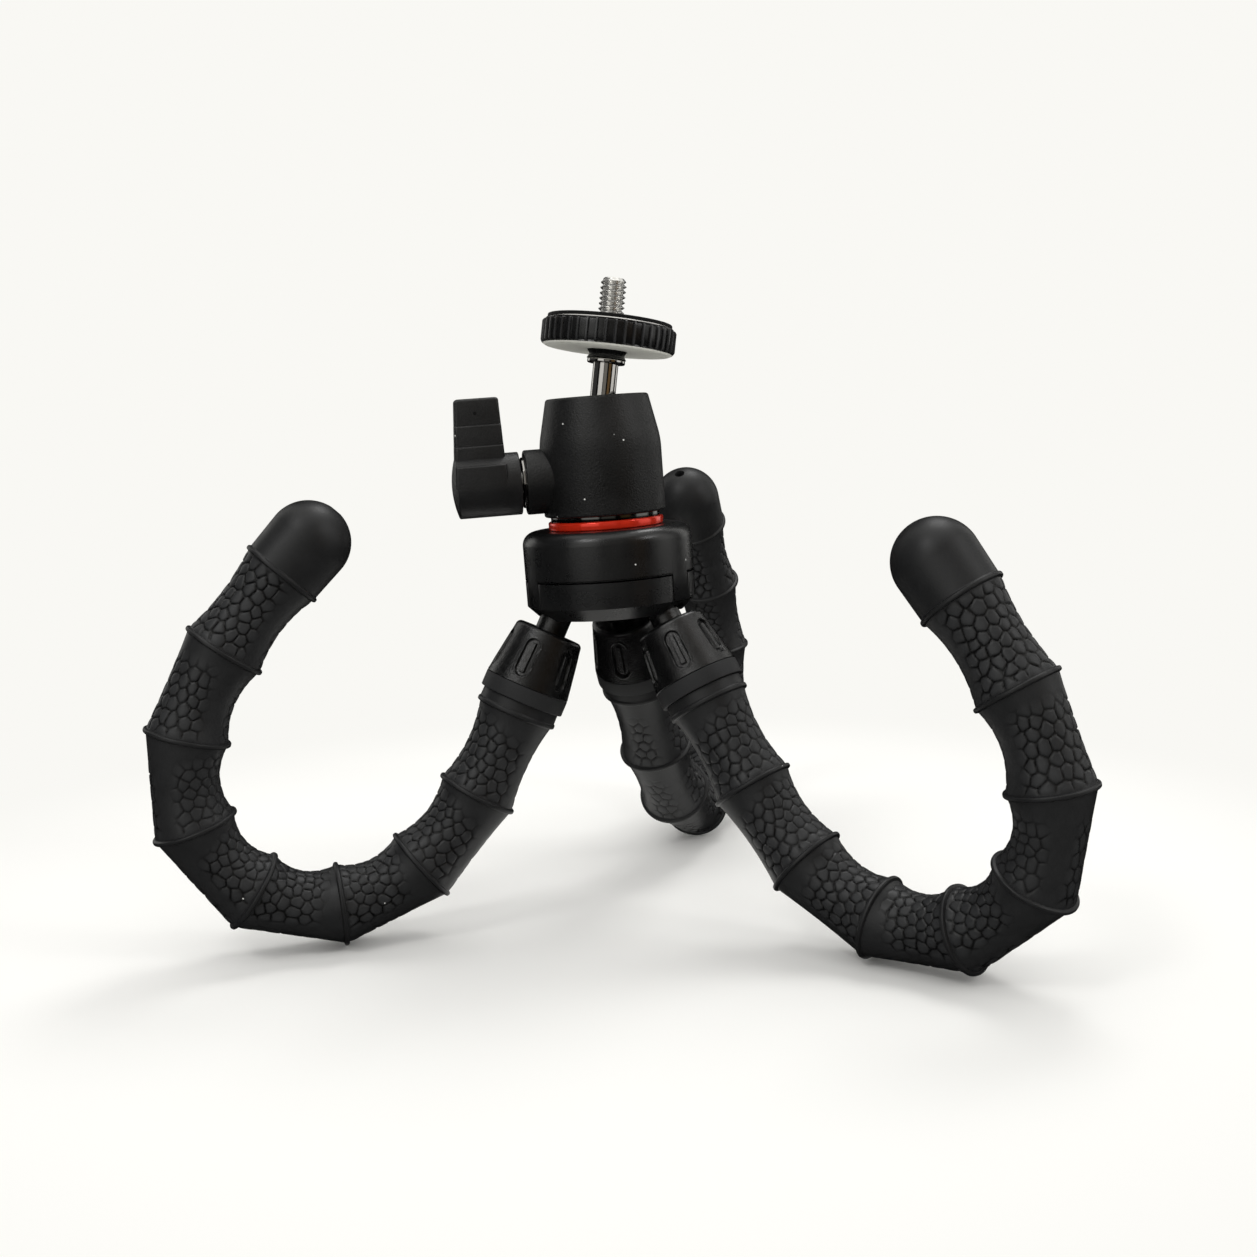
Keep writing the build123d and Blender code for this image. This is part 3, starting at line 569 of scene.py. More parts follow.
def skin(leg, k, legs):
    """The rubber between two ribs: a round tube on a circular arc, thinner in the middle, with raised scales.

    Its middle line turns through the bend at radius pitch / (2 tan(bend / 2)), so it leaves both ribs squarely.
    Its radius falls by waist * (1 - (2 share - 1)^2), and outside the bend at least to the straight line.
    """
    start, bend = leg.ribs[k], leg.angles[k]
    share = np.linspace(0, 1, SKIN_ROWS)
    turn = around(SKIN_COLUMNS)[0]
    reach = HALF_PITCH / math.tan(bend / 2)
    angle = bend * share
    middle = start.at(reach * (1 - np.cos(angle)), 0.0, reach * np.sin(angle))
    across = np.cos(angle)[:, None] * start.x - np.sin(angle)[:, None] * start.z
    waist = legs.skin_radius - legs.waist_radius
    arc_height = (reach + legs.skin_radius) * (1 - math.cos(bend / 2))
    outside = np.clip(-np.cos(turn), 0, 1)
    fall = waist + max(arc_height - waist, 0) * outside
    radius = legs.skin_radius - fall[None, :] * (1 - (2 * share - 1) ** 2)[:, None]
    height, strength = scale_relief(2 * HALF_PITCH * share, turn, k, 7 + k + 31 * LEG_NAMES.index(leg.name))
    ends = ramp(share, 0.025, 0.07) * ramp(1 - share, 0.025, 0.07)
    strength = strength * ends[:, None]
    radius = radius + legs.scale_depth * strength * (height - 0.6)
    outward = np.cos(turn)[None, :, None] * across[:, None, :] + np.sin(turn)[None, :, None] * start.y
    grid = middle[:, None, :] + radius[..., None] * outward
    # The relief also sets the rubber's colour: black in the grooves as painted shade, and lighter on scale tops as
    # painted highlight
    relief = SMOOTH_RELIEF + strength * (height - SMOOTH_RELIEF)
    poles = (leg.ribs[k].origin, leg.ribs[k + 1].origin)
    piece = surface(f"rubber_{leg.name}_{k}_{k + 1}", grid, poles, sharp=1.0, values={"relief": relief})
    settle(piece, "rubber", None, "leg_rubber")
    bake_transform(piece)


def rubber_turned(name, place, corners, looped=False):
    """A turned rubber piece with an even relief."""
    piece = turned(name, place, corners, looped=looped, columns=160, sharp=0.9)
    attribute = piece.data.attributes.new("relief", "FLOAT", "POINT")
    attribute.data.foreach_set("value", np.full(len(piece.data.vertices), RIB_RELIEF, dtype=np.float32))
    return piece


def crest(top):
    """The two corners on top of a rib."""
    return (top, -RIB_CREST, RIB_ROUND), (top, RIB_CREST, RIB_ROUND)


def foot(leg, top):
    """Last rib with the domed foot: a quarter circle in profile, and a small blind hole at its pole."""
    half, dome, radius, hole, hole_end = RIB_ROOT, 9.7, 9.8, 1.4, 15.5
    edge = math.asin(hole / radius)
    turn = np.linspace(math.pi / 2, edge, 22)[1:-1]
    arc = [(radius * math.sin(t), dome + radius * math.cos(t), 0) for t in turn]
    mouth = dome + radius * math.cos(edge)
    corners = [
        (0, -half, 0), (9.2, -half, 0), (9.4, -half, 0.1), *crest(top), (9.55, half, 0.3), (radius, dome, 0), *arc,
        (hole + 0.12, mouth - 0.02, 0), (hole, mouth - 0.2, 0), (hole, hole_end, 0), (0, hole_end, 0),
    ]
    return rubber_turned(f"foot_end_{leg.name}", leg.ribs[BENDS], corners)


def make_rubber(legs):
    """Skins, ribs, cuffs and feet of the three legs."""
    top, half = legs.rib_radius / MM, RIB_ROOT
    rib = [(8.6, -half, 0), (9.4, -half, 0.1), *crest(top), (9.4, half, 0.1), (8.6, half, 0)]
    cuff = [
        (0, -3.2, 0), (9.7, -3.2, 0.25), (9.75, -0.8, 0.15), *crest(top),
        (9.4, half, 0.1), (9.2, half, 0), (0, half, 0),
    ]
    for leg in LEGS:
        name = leg.name
        for k in range(BENDS):
            skin(leg, k, legs)
        for k in range(1, BENDS):
            piece = rubber_turned(f"rib_{name}_{k}", leg.ribs[k], rib, looped=True)
            settle(piece, "rubber", f"leg_{name}_{k}", "leg_rubber", f"sleeve_{name}_{k}")
        piece = rubber_turned(f"cuff_{name}", leg.ribs[0], cuff)
        settle(piece, "rubber", f"leg_{name}_0", "leg_rubber", f"sleeve_{name}_0", f"core_{name}", f"wire_{name}")
        settle(foot(leg, top), "rubber", f"leg_{name}_{BENDS}", "leg_rubber", f"foot_{name}")


# Collars, bands and ball studs of the legs


def ball_profile(radius, neck, steps):
    """Corners of a ball from its pole to where it runs into its neck: (radius * sin t, radius * cos t)."""
    turn = np.linspace(math.pi, math.asin(neck / radius), steps)[1:]
    return [(0, -radius, 0), *[(radius * math.sin(t), radius * math.cos(t), 0) for t in turn]]


def collar(leg):
    """A cone that widens downward, with six rounded slots and a bar in each.

    The slot is where the distance to a straight run, less half the slot's width, is below zero: there the radius
    falls by the slot's depth, except along the bar in its middle. A small bell curve raises the slot's rim.
    """
    high, shoulder, neck, wall_top, wall_bottom = COLLAR_HEIGHT / MM, 1.3, 7.3, 8.6, 10.6
    down = np.concatenate([np.linspace(shoulder, 13.9, 110), [14.15, high]]) * MM
    turn = around(384)[0]
    slope = (wall_bottom - wall_top) / (high - shoulder)
    radius = (wall_top + slope * (down / MM - shoulder))[:, None] * MM + 0 * turn
    radius[-1] -= 0.00015
    sector = FULL_TURN / 6
    off = ((turn + sector / 2) % sector - sector / 2)[None, :] * radius
    along = np.abs(down[:, None] - 7.6 * MM)
    run = np.hypot(off, np.maximum(along - 2.9 * MM, 0))
    slot = 1 - ramp(run, 1.78 * MM, 1.98 * MM)
    bar = (1 - ramp(np.abs(off), 0.5 * MM, 0.72 * MM)) * (1 - ramp(along, 3.6 * MM, 3.9 * MM))
    rim = np.exp(-(((run - 2.15 * MM) / (0.16 * MM)) ** 2))
    depth, rim_height = 0.75 * MM, 0.05 * MM
    radius = radius - depth * slot * (1 - 0.9 * bar) + rim_height * rim
    bend = np.linspace(0, math.pi / 2, 9)[:-1]
    outer = (neck + shoulder * np.sin(bend)) * MM
    outer_down = (shoulder - shoulder * np.cos(bend)) * MM
    inner = np.array([8.2, 8.2, 7.0, 7.0, 3.95, 3.95, 4.1]) * MM
    inner_down = np.array([high, 8.9, 8.9, 3.2, 3.2, 0.15, 0.0]) * MM
    radius = np.concatenate([outer[:, None] + 0 * turn, radius, inner[:, None] + 0 * turn])
    down = np.concatenate([outer_down, down, inner_down])[:, None] + 0 * turn
    grid = leg.top.moved(COLLAR_TOP).at(radius * np.cos(turn), radius * np.sin(turn), down)
    piece = surface(f"collar_{leg.name}", grid, sharp=0.7)
    settle(piece, "collar", f"leg_{leg.name}_0", "collar_plastic", f"leg_collar_{leg.name}")


def band(leg):
    """Satin ring under the collar, its edges just broken."""
    low = COLLAR_HEIGHT / MM
    high = low + BAND_HEIGHT / MM
    corners = [(10.6, low + 0.05, 0.15), (10.6, high - 0.02, 0.2), (8.3, high - 0.02, 0), (8.3, low + 0.05, 0)]
    piece = turned(f"band_{leg.name}", leg.top.moved(COLLAR_TOP), corners, looped=True)
    settle(piece, "band", f"leg_{leg.name}_0", "band_plastic", f"leg_band_{leg.name}")


def stud(leg):
    """Ball, neck and head of a leg's stud."""
    neck, head, low, high = 3.8, 6.4, 15.5, 17.9
    corners = [*ball_profile(6.3, neck, 30), (neck, low, 0), (head, low, 0.1), (head, high, 0.2), (0, high, 0)]
    piece = turned(f"ball_stud_{leg.name}", leg.top, corners, columns=96, sharp=0.5)
    settle(piece, "collar", f"stud_{leg.name}", "shell_plastic", f"leg_stud_{leg.name}")


# Hub


def cover(radius):
    """Upper shell: a turned shoulder and wall whose lower edge drops from the seam to the chamfer at each tab.

    Near a tab's sides the radius falls by a small bell curve, which rounds them.
    """
    shoulder, wall, floor_height, bore = 0.0033, 0.0022, HUB_TOP - 0.003, 0.0033
    tabs = np.radians([207.0, 327.0, 87.0])
    half = math.radians(8.7)
    side = np.radians([-1.0, -0.6, -0.35, -0.15, -0.04, 0.04, 0.15, 0.35, 0.6, 1.0])
    steps = np.concatenate([tabs - half, tabs + half])
    turn = np.sort(np.concatenate([around(240)[0], (steps[:, None] + side).ravel() % FULL_TURN]))
    off = np.abs((turn[:, None] - tabs + math.pi) % FULL_TURN - math.pi).min(axis=1)
    inside = off < half
    low = np.where(inside, HUB_BOTTOM + 0.0031 + 0.00008, SEAM_HEIGHT + 0.00026)
    bell = 0.00016 * np.exp(-(((off - half) / math.radians(0.3)) ** 2)) * inside
    bend = np.linspace(0, math.pi / 2, 14)
    rows = [(radius - wall, low), (radius - 0.0003, low), (radius - 0.00009, low + 0.00006)]
    rows += [(radius - bell, low + 0.00026), (radius - bell, np.maximum(low + 0.0005, SEAM_HEIGHT - 0.0002))]
    rows += [(radius, SEAM_HEIGHT + 0.0004)]
    rows += [(radius - shoulder * (1 - math.cos(a)), HUB_TOP - shoulder * (1 - math.sin(a))) for a in bend]
    rows += [(0.0145, HUB_TOP), (bore, HUB_TOP), (bore, floor_height), (radius - wall, floor_height)]
    out, high = (np.stack([row[part] + 0 * turn for row in rows]) for part in (0, 1))
    piece = surface("hub_shell", HUB.at(out * np.cos(turn), out * np.sin(turn), high), sharp=0.55)
    settle(piece, "shell", "hub", "shell_plastic", "hub_cover")


def dressed_copy(name, source, finish, slot, bevel):
    """A CAD node of the hub as its own mesh, merged, its flats joined and its edges broken by a bevel."""
    mesh = frame["nodes"][source].data.copy()
    mesh.name = name
    mesh.materials.clear()
    work = bmesh.new()
    work.from_mesh(mesh)
    bmesh.ops.remove_doubles(work, verts=work.verts, dist=0.000002)
    bmesh.ops.dissolve_limit(work, angle_limit=math.radians(1.5), verts=work.verts, edges=work.edges)
    work.to_mesh(mesh)
    work.free()
    mesh.shade_smooth()
    mesh.set_sharp_from_angle(angle=math.radians(28))
    piece = added(name, mesh)
    edges = piece.modifiers.new("broken edges", "BEVEL")
    edges.width = bevel
    edges.segments = 2
    edges.limit_method = "ANGLE"
    edges.angle_limit = math.radians(40)
    edges.use_clamp_overlap = True
    edges.harden_normals = False
    settle(piece, finish, "hub", slot, source)


def make_hub(hub):
    """Cover, base and screws."""
    cover(hub.hub_radius)
    dressed_copy("hub_body", "hub_base", "shell", "shell_plastic", 0.0004)
    dressed_copy("hub_screw_heads", "hub_screws", "steel", "bright_steel", 0.00015)


def make_ring():
    """Red ring, and the washer over it."""
    bore, low = 3.3, HUB_TOP / MM
    high = low + RING_HEIGHT / MM
    ring = [(14.2, low, 0.45), (14.2, high, 0.45), (bore, high, 0), (bore, low, 0)]
    settle(turned("red_ring", HUB, ring, looped=True), "ring", "hub", "red_anodised", "lock_ring")
    top = high + WASHER_HEIGHT / MM
    washer = [(13.5, high, 0.12), (13.5, top, 0.12), (bore, top, 0), (bore, high, 0)]
    # The washer takes the darkened steel, a painted shade
    settle(turned("bright_washer", HUB, washer, looped=True), "washer", "head_lift", "bright_steel", "head_washer")


# Ball head


def make_housing():
    """Turned housing that narrows to its mouth, and on its side the boss with the clamp's bright bush."""
    low, wall, bore, mouth = HOUSING_BOTTOM / MM, 15.0, 9.7, 7.4
    high = low + 28.7
    outline = [
        (wall, low, 0.6), (wall, low + 17.6, 22), (12.6, high, 0.8), (mouth, high, 0.3), (bore, low + 24.3, 0),
        (bore, low, 0),
    ]
    piece = turned("head_body", HUB, outline, columns=192, looped=True, steps=10)
    settle(piece, "housing", "head", "housing_paint", "housing")
    start, end, top = 10.0, 19.2, 20.0
    boss = [(7.9, start, 0), (7.9, end, 0.45), (4.25, end, 0), (4.25, start, 0)]
    settle(turned("lever_boss", BOSS, boss, looped=True), "housing", "head", "housing_paint")
    bush = [(4.2, start, 0), (4.2, end, 0), (6.2, end, 0.2), (6.2, top, 0.25), (2.85, top, 0), (2.85, start, 0)]
    settle(turned("bright_bush", BOSS, bush, looped=True), "chrome", "head", "bright_steel", "clamp_bush")


def make_ball():
    """Chrome ball with its stem and flange."""
    stem, flange, low, high = 3.1, 4.65, 16.7, 17.8
    corners = [*ball_profile(9.0, stem, 48), (stem, low, 0), (flange, low, 0.3), (flange, high, 0.3), (0, high, 0)]
    piece = turned("chrome_ball", BALL, corners, columns=128, sharp=0.5)
    settle(piece, "chrome", "ball", "chrome_steel", "ball_stem")


def make_screw():
    """Quarter-inch thread: the radius falls in a V by the share of a turn left over from height / pitch - angle."""
    low, high, pitch, radius, depth = 0.0178, 0.0374, 0.00127, 0.003175, 0.00068
    height = np.linspace(low, high, 232)[:, None]
    turn = around(72)
    phase = (height / pitch - turn / FULL_TURN) % 1.0
    flank = np.clip((np.abs(2 * phase - 1) - 0.12) / 0.76, 0, 1)
    run = ramp(height, low, low + 0.0008) * (1 - ramp(height, high - 0.0006, high))
    out = radius - depth * (1 - flank) * run
    out = np.minimum(out, radius - 0.0008 + (high - height) * 0.9)
    grid = BALL.at(out * np.cos(turn), out * np.sin(turn), height + 0 * turn)
    poles = (BALL.at(0.0, 0.0, low), BALL.at(0.0, 0.0, high))
    piece = surface("camera_thread", grid, poles, sharp=0.8)
    settle(piece, "screw", "ball", "chrome_steel", "camera_screw")


def make_disc():
    """Knurled disc: a turned outline whose rim stands out by smoothed square ribs, with a waisted neck below."""
    low, rim = 17.85, 16.5
    under = low + DISC_NECK_HEIGHT / MM
    top = under + DISC_HEIGHT / MM
    outline = [
        (4.85, low), (4.45, low + 0.7), (4.35, low + 1.0), (4.45, low + 1.3), (4.85, under), (5.0, under),
        (15.3, under), (rim - 0.5, under + 0.35), (rim - 0.15, under + 0.75), (rim, under + 1.1), (rim, top - 1.0),
        (rim - 0.15, top - 0.7), (rim - 0.3, top - 0.58), (rim - 0.72, top - 0.54), (rim - 0.76, top - 0.26),
        (rim - 0.96, top - 0.04), (rim - 1.2, top), (3.3, top), (3.3, low),
    ]
    outline = np.array(outline) * MM
    turn = around(DISC_RIBS * 24)
    rib = ramp(np.cos(DISC_RIBS * turn), 0.45, 0.85)
    rimmed = ramp(outline[:, :1], 0.0159, 0.01625)
    out = outline[:, :1] - 0.0006 * rimmed * (1 - rib)
    grid = BALL.at(out * np.cos(turn), out * np.sin(turn), outline[:, 1:] + 0 * turn)
    # Relief that paints the rib crests lighter, a painted highlight, and leaves the grooves between ribs and the rest
    # of the disc near the groove's black
    relief = 0.12 + 0.5 * rimmed * rib
    piece = surface("knurled_disc", grid, sharp=0.5, values={"relief": relief})
    settle(piece, "disc", "disc", "disc_anodised", "lock_disc")
    # A row of faces lies above each corner of the outline: the pale underside, and the bright line inside the rim
    underside, bright_line = (5, 6), 14
    for finish in ("face", "steel"):
        piece.data.materials.append(FINISHES[finish])
    rows = np.repeat(np.arange(len(outline)), turn.size)
    index = np.isin(rows, underside) + 2 * (rows == bright_line)
    piece.data.polygons.foreach_set("material_index", index.astype(np.int32))
    thick = top + 0.9
    pad = [(15.3, top, 0), (15.3, thick, 0.25), (3.5, thick, 0.1), (3.5, top, 0)]
    settle(turned("camera_pad", BALL, pad, looped=True), "pad", "pad", "pad_rubber", "disc_pad")


def wing():
    """The lever's wing: rounded rectangles stacked up from the barrel, thinner after each step's round shoulder.

    A corner point = side * (half size - corner radius) + corner radius * (cos t, sin t). Each block starts at a
    height over the lever's axis and has a thickness. The side near the head and the far one close in upward.
    """
    reach, corner, soft_edge = 21.2, 0.75, 0.5
    blocks = ((0.0, 15.5), (5.1, 7.9), (9.8, 7.1), (14.8, 6.3), (reach, 0))
    bend = np.linspace(0, math.pi / 2, 6)
    levels = []
    for (low, thick), (high, _) in zip(blocks, blocks[1:]):
        edge = corner if high == reach else soft_edge
        levels.append((low, thick - 0.1, 0))
        levels += [(high - edge * (1 - math.sin(a)), thick, edge * (1 - math.cos(a))) for a in bend]
    levels = np.array(levels)
    share = levels[:, 0] / reach
    trim = np.where(levels[:, 0] > blocks[-2][0] + 1, levels[:, 2], 0)
    near = 3.1 + 0.7 * share + trim
    far = 15.95 - 1.5 * share - trim
    quarter = np.linspace(0, math.pi / 2, 7)
    turn = np.concatenate([quarter + k * math.pi / 2 for k in range(4)])
    side_out = np.repeat([1, -1, -1, 1], len(quarter))
    side_across = np.repeat([1, 1, -1, -1], len(quarter))
    half_out = ((far - near) / 2)[:, None]
    half_across = (levels[:, 1] / 2 - levels[:, 2])[:, None]
    out = ((near + far) / 2)[:, None] + side_out * (half_out - corner) + corner * np.cos(turn)
    across = side_across * (half_across - corner) + corner * np.sin(turn)
    grid = LEVER.at(levels[:, :1] * MM + 0 * out, across * MM, out * MM)
    ends = [LEVER.at(h * MM, 0.0, 9.95 * MM) for h in (levels[0, 0], reach)]
    return surface("lever_wing", grid, ends, sharp=0.5)


def make_lever():
    """Barrel with a domed end, its wing, and on the wing a small black disc that stands for the dark inside of a small
    moulding hole, a painted shade.
    """
    radius, side, rise = 7.65, 15.3, 1.3
    high = 16.6
    crown = (radius**2 + rise**2) / (2 * rise)
    bend = np.linspace(math.asin(radius / crown), 0, 14)[1:-1]
    dome = [(crown * math.sin(t), high - crown + crown * math.cos(t), 0) for t in bend]
    barrel = [(0, 0, 0), (radius, 0, 0.3), (radius, side, 0.5), *dome, (0, high, 0)]
    settle(turned("lever_barrel", LEVER, barrel), "lever", "lever", "lever_plastic", "lever")
    settle(wing(), "lever", "lever", "lever_plastic")
    # A small black disc in the wing, standing proud by 0.03 mm: the painted shade of a small hole
    front = Place(LEVER.at(0.0176, -0.00315, 0.0097), LEVER.z, -LEVER.y)
    mark = [(0, -0.4, 0), (0.4, -0.4, 0), (0.4, 0.03, 0.02), (0, 0.03, 0)]
    settle(turned("moulding_mark", front, mark, columns=32), "pad", "lever", "lever_plastic")


# Pieces that stay as the CAD made them


def dress_hidden():
    """A finish for each CAD node that has no piece of its own."""
    for source, finish in (
        ("clamp_plate", "shell"), ("hub_stud", "steel"), ("base_plug", "housing"), ("ball_liner", "shell"),
        ("ball_seat", "shell"), ("clamp_pin", "steel"),
    ):
        for slot in frame["nodes"][source].material_slots:
            slot.link = "OBJECT"
            slot.material = FINISHES[finish]


# Studio


def seen(tree):
    """One for the rays of the camera, of gloss and of glass, and zero for the rest: the greatest of the three."""
    rays = node(tree, "ShaderNodeLightPath").outputs
    either = maths(tree, "MAXIMUM", rays["Is Camera Ray"], rays["Is Glossy Ray"])
    return maths(tree, "MAXIMUM", either, rays["Is Transmission Ray"])


def put_mixed(tree, kind, factor, low, high):
    """The tree's output: the low shader where the factor is zero, and the high one where it is one."""
    mix = node(tree, "ShaderNodeMixShader", {0: factor, 1: low.outputs[0], 2: high.outputs[0]})
    node(tree, kind, {"Surface": mix.outputs[0]})


def background(stage):
    """World that shows the pale background to the camera and in gloss and glass, and lights softly elsewhere."""
    world = bpy.data.worlds.new("studio")
    bpy.context.scene.world = world
    tree = bare_tree(world)
    light = node(tree, "ShaderNodeBackground", {"Color": (1, 1, 1, 1), "Strength": stage.fill})
    pale = node(tree, "ShaderNodeBackground", {"Color": (*stage.pale, 1), "Strength": 1.0})
    put_mixed(tree, "ShaderNodeOutputWorld", seen(tree), light, pale)


def floor(stage):
    """Pale floor that takes the object's shadow near it and turns into the background further out."""
    mesh = bpy.data.meshes.new("floor")
    far = FLOOR_HALF
    mesh.from_pydata([(-far, -far, 0), (far, -far, 0), (far, far, 0), (-far, far, 0)], [], [(0, 1, 2, 3)])
    piece = added("floor", mesh)
    material = bpy.data.materials.new("pale floor")
    tree = bare_tree(material)
    lit = node(tree, "ShaderNodeBsdfDiffuse", {"Color": (*stage.floor_colour, 1)})
    pale = node(tree, "ShaderNodeEmission", {"Color": (*stage.pale, 1), "Strength": 1.0})
    place = node(tree, "ShaderNodeTexCoord")
    length = node(tree, "ShaderNodeVectorMath", {0: place.outputs["Object"]}, operation="LENGTH")
    fade = {"Value": length.outputs["Value"], "From Min": FLOOR_FADE[0], "From Max": FLOOR_FADE[1]}
    away = node(tree, "ShaderNodeMapRange", fade, interpolation_type="SMOOTHSTEP")
    both = maths(tree, "MULTIPLY", away.outputs["Result"], seen(tree))
    put_mixed(tree, "ShaderNodeOutputMaterial", both, lit, pale)
    mesh.materials.append(material)


def cards(stage):
    """Cards all round, seen only in gloss, which glow in their colours as painted reflections: black plastic stays dark
    in them, and metal shows bright gaps.

    Each card is a strip of a cylinder from the floor up: (reach * cos t, reach * sin t, height). The last is a flat
    black ring, a painted dark reflection that keeps the floor out of the gloss.
    """
    upright = ((CARD_REACH, CARD_BOTTOM), (CARD_REACH, stage.card_height))
    flat = ((SHEET_START, SHEET_BOTTOM), (CARD_REACH, CARD_BOTTOM))
    strips = [(*card, upright) for card in CARDS] + [(0, 360, BLACK_PAINTED_REFLECTION, flat)]
    count = CARD_CORNERS
    cells = [(c, c + 1, count + c + 1, count + c) for c in range(count - 1)]
    for k, (start, end, colour, outline) in enumerate(strips):
        material = bpy.data.materials.new(f"card {k}")
        tree = bare_tree(material)
        # Each card glows in its colour and is seen only in gloss: a painted reflection
        shade = node(tree, "ShaderNodeEmission", {"Color": (*colour, 1), "Strength": 1.0})
        node(tree, "ShaderNodeOutputMaterial", {"Surface": shade.outputs[0]})
        turn = np.radians(np.linspace(start, end, count))
        profile = np.array(outline)
        reach, height = profile[:, :1], profile[:, 1:]
        corners = np.stack([reach * np.cos(turn), reach * np.sin(turn), height + 0 * turn], axis=-1).reshape(-1, 3)
        mesh = bpy.data.meshes.new(f"card_{k}")
        mesh.from_pydata(corners.tolist(), [], cells)
        mesh.materials.append(material)
        card = added(f"card_{k}", mesh)
        card.visible_camera = False
        card.visible_diffuse = False
        card.visible_transmission = False
        card.visible_shadow = False


def soft_lamp(name, spot, size, power):
    """A square soft lamp at a spot, turned toward the object."""
    data = bpy.data.lights.new(name, "AREA")
    data.size = size
    data.energy = power
    lamp = added(name, data)
    lamp.location = spot
    lamp.rotation_euler = (Vector(LAMP_AIM) - Vector(spot)).to_track_quat("-Z", "Y").to_euler()


def camera(stage):
    """Camera at the photograph's viewing angle: turned by yaw, then pitch, then roll about its own line of sight."""
    data = bpy.data.cameras.new("view")
    data.sensor_width = 36.0
    data.lens = stage.lens
    data.clip_start = 0.01
    eye = added("view", data)
    yaw, pitch, roll = stage.yaw, stage.pitch, stage.roll
    look = np.array((math.sin(yaw) * math.cos(pitch), math.cos(yaw) * math.cos(pitch), math.sin(pitch)))
    right = np.array((math.cos(yaw), -math.sin(yaw), 0.0))
    up = np.cross(right, look)
    right, up = math.cos(roll) * right + math.sin(roll) * up, math.cos(roll) * up - math.sin(roll) * right
    spot = np.array(stage.eye) + np.array((HUB.origin[0], HUB.origin[1], 0.0))
    eye.matrix_world = Matrix(np.column_stack([right, up, -look, spot]).tolist() + [[0, 0, 0, 1]])
    bpy.context.scene.camera = eye


def make_stage(stage):
    """Floor, background, cards, soft lamps and camera."""
    background(stage)
    floor(stage)
    cards(stage)
    for name, (spot, size) in LAMPS.items():
        soft_lamp(name, spot, size, getattr(stage, name))
    camera(stage)
    bpy.context.scene.view_settings.view_transform = "Standard"


# Sizes and colours that a user would change


class TripodLegSizes(bpy.types.PropertyGroup):
    """Rubber of the legs."""

    skin_radius: FloatProperty(name="Skin radius", description="Radius beside a rib", default=0.0095, unit="LENGTH")
    waist_radius: FloatProperty(
        name="Waist radius", description="Radius midway between ribs", default=0.0080, unit="LENGTH"
    )
    rib_radius: FloatProperty(name="Rib radius", description="Radius on top of a rib", default=0.0101, unit="LENGTH")
    scale_depth: FloatProperty(
        name="Scale depth", description="Height of a scale over its grooves", default=0.00042, unit="LENGTH"
    )
    held: FloatProperty(
        name="Held length", description="Rubber that keeps still on each side of a rib", default=0.0035, unit="LENGTH"
    )


class TripodHubSizes(bpy.types.PropertyGroup):
    """Hub and head."""

    hub_radius: FloatProperty(name="Hub radius", description="Radius of the hub's wall", default=0.021, unit="LENGTH")


class TripodLooks(bpy.types.PropertyGroup):
    """Colours of the plastics, the rubber and the ring."""

    black: FloatVectorProperty(
        name="Black plastic", description="Colour of the hub's plastic, and the others from it",
        default=(0.0052, 0.0053, 0.0055), subtype="COLOR", size=3,
    )
    rubber: FloatVectorProperty(
        name="Rubber", description="Colour of the leg rubber",
        default=(0.0118, 0.0121, 0.0127), subtype="COLOR", size=3,
    )
    ring: FloatVectorProperty(
        name="Ring", description="Colour of the ring under the head",
        default=(0.92, 0.038, 0.012), subtype="COLOR", size=3,
    )


class TripodStageSettings(bpy.types.PropertyGroup):
    """Background, lamps and camera."""

    pale: FloatVectorProperty(
        name="Background", description="Colour of the background",
        default=(0.947, 0.939, 0.905), subtype="COLOR", size=3,
    )
    floor_colour: FloatVectorProperty(
        name="Floor", description="Colour of the floor",
        default=(0.945, 0.937, 0.903), subtype="COLOR", size=3,
    )
    fill: FloatProperty(name="Fill", description="Strength of the even light from all round", default=0.88)
    key: FloatProperty(name="Key lamp", description="Power of the lamp at the upper left", default=1.5, unit="POWER")
    side: FloatProperty(name="Side lamp", description="Power of the lamp at the right", default=0.9, unit="POWER")
    top: FloatProperty(name="Top lamp", description="Power of the lamp overhead", default=2.2, unit="POWER")
    card_height: FloatProperty(
        name="Card height", description="Height of the cards all round", default=2.8, unit="LENGTH"
    )
    lens: FloatProperty(name="Lens", description="Focal length", default=43.1, unit="CAMERA")
    eye: FloatVectorProperty(
        name="Camera place", description="Camera from the foot of the hub's axis",
        default=(0.0147, -0.3730, 0.1235), subtype="TRANSLATION", unit="LENGTH", size=3,
    )
    yaw: FloatProperty(
        name="Yaw", description="Turn of the camera toward +X", default=math.radians(-1.62), subtype="ANGLE"
    )
    pitch: FloatProperty(
        name="Pitch", description="Tilt of the camera upward", default=math.radians(-7.79), subtype="ANGLE"
    )
    roll: FloatProperty(
        name="Roll", description="Turn of the camera about its line of sight",
        default=math.radians(-1.73), subtype="ANGLE",
    )


# Operators


class TRIPOD_OT_finishes(bpy.types.Operator):
    """Make the finishes"""

    bl_idname = "tripod.finishes"
    bl_label = "Finishes"

    def execute(self, context):
        make_finishes(context.scene.tripod_looks)
        return {"FINISHED"}


class TRIPOD_OT_rubber(bpy.types.Operator):
    """Make the rubber of the legs"""

    bl_idname = "tripod.rubber"
    bl_label = "Leg Rubber"

    def execute(self, context):
        make_rubber(context.scene.tripod_legs)
        return {"FINISHED"}


class TRIPOD_OT_collars(bpy.types.Operator):
    """Make the collars, bands and ball studs"""

    bl_idname = "tripod.collars"
    bl_label = "Collars"

    def execute(self, context):
        for leg in LEGS:
            collar(leg)
            band(leg)
            stud(leg)
        return {"FINISHED"}


class TRIPOD_OT_hub(bpy.types.Operator):
    """Make the hub"""

    bl_idname = "tripod.hub"
    bl_label = "Hub"

    def execute(self, context):
        make_hub(context.scene.tripod_hub)
        return {"FINISHED"}


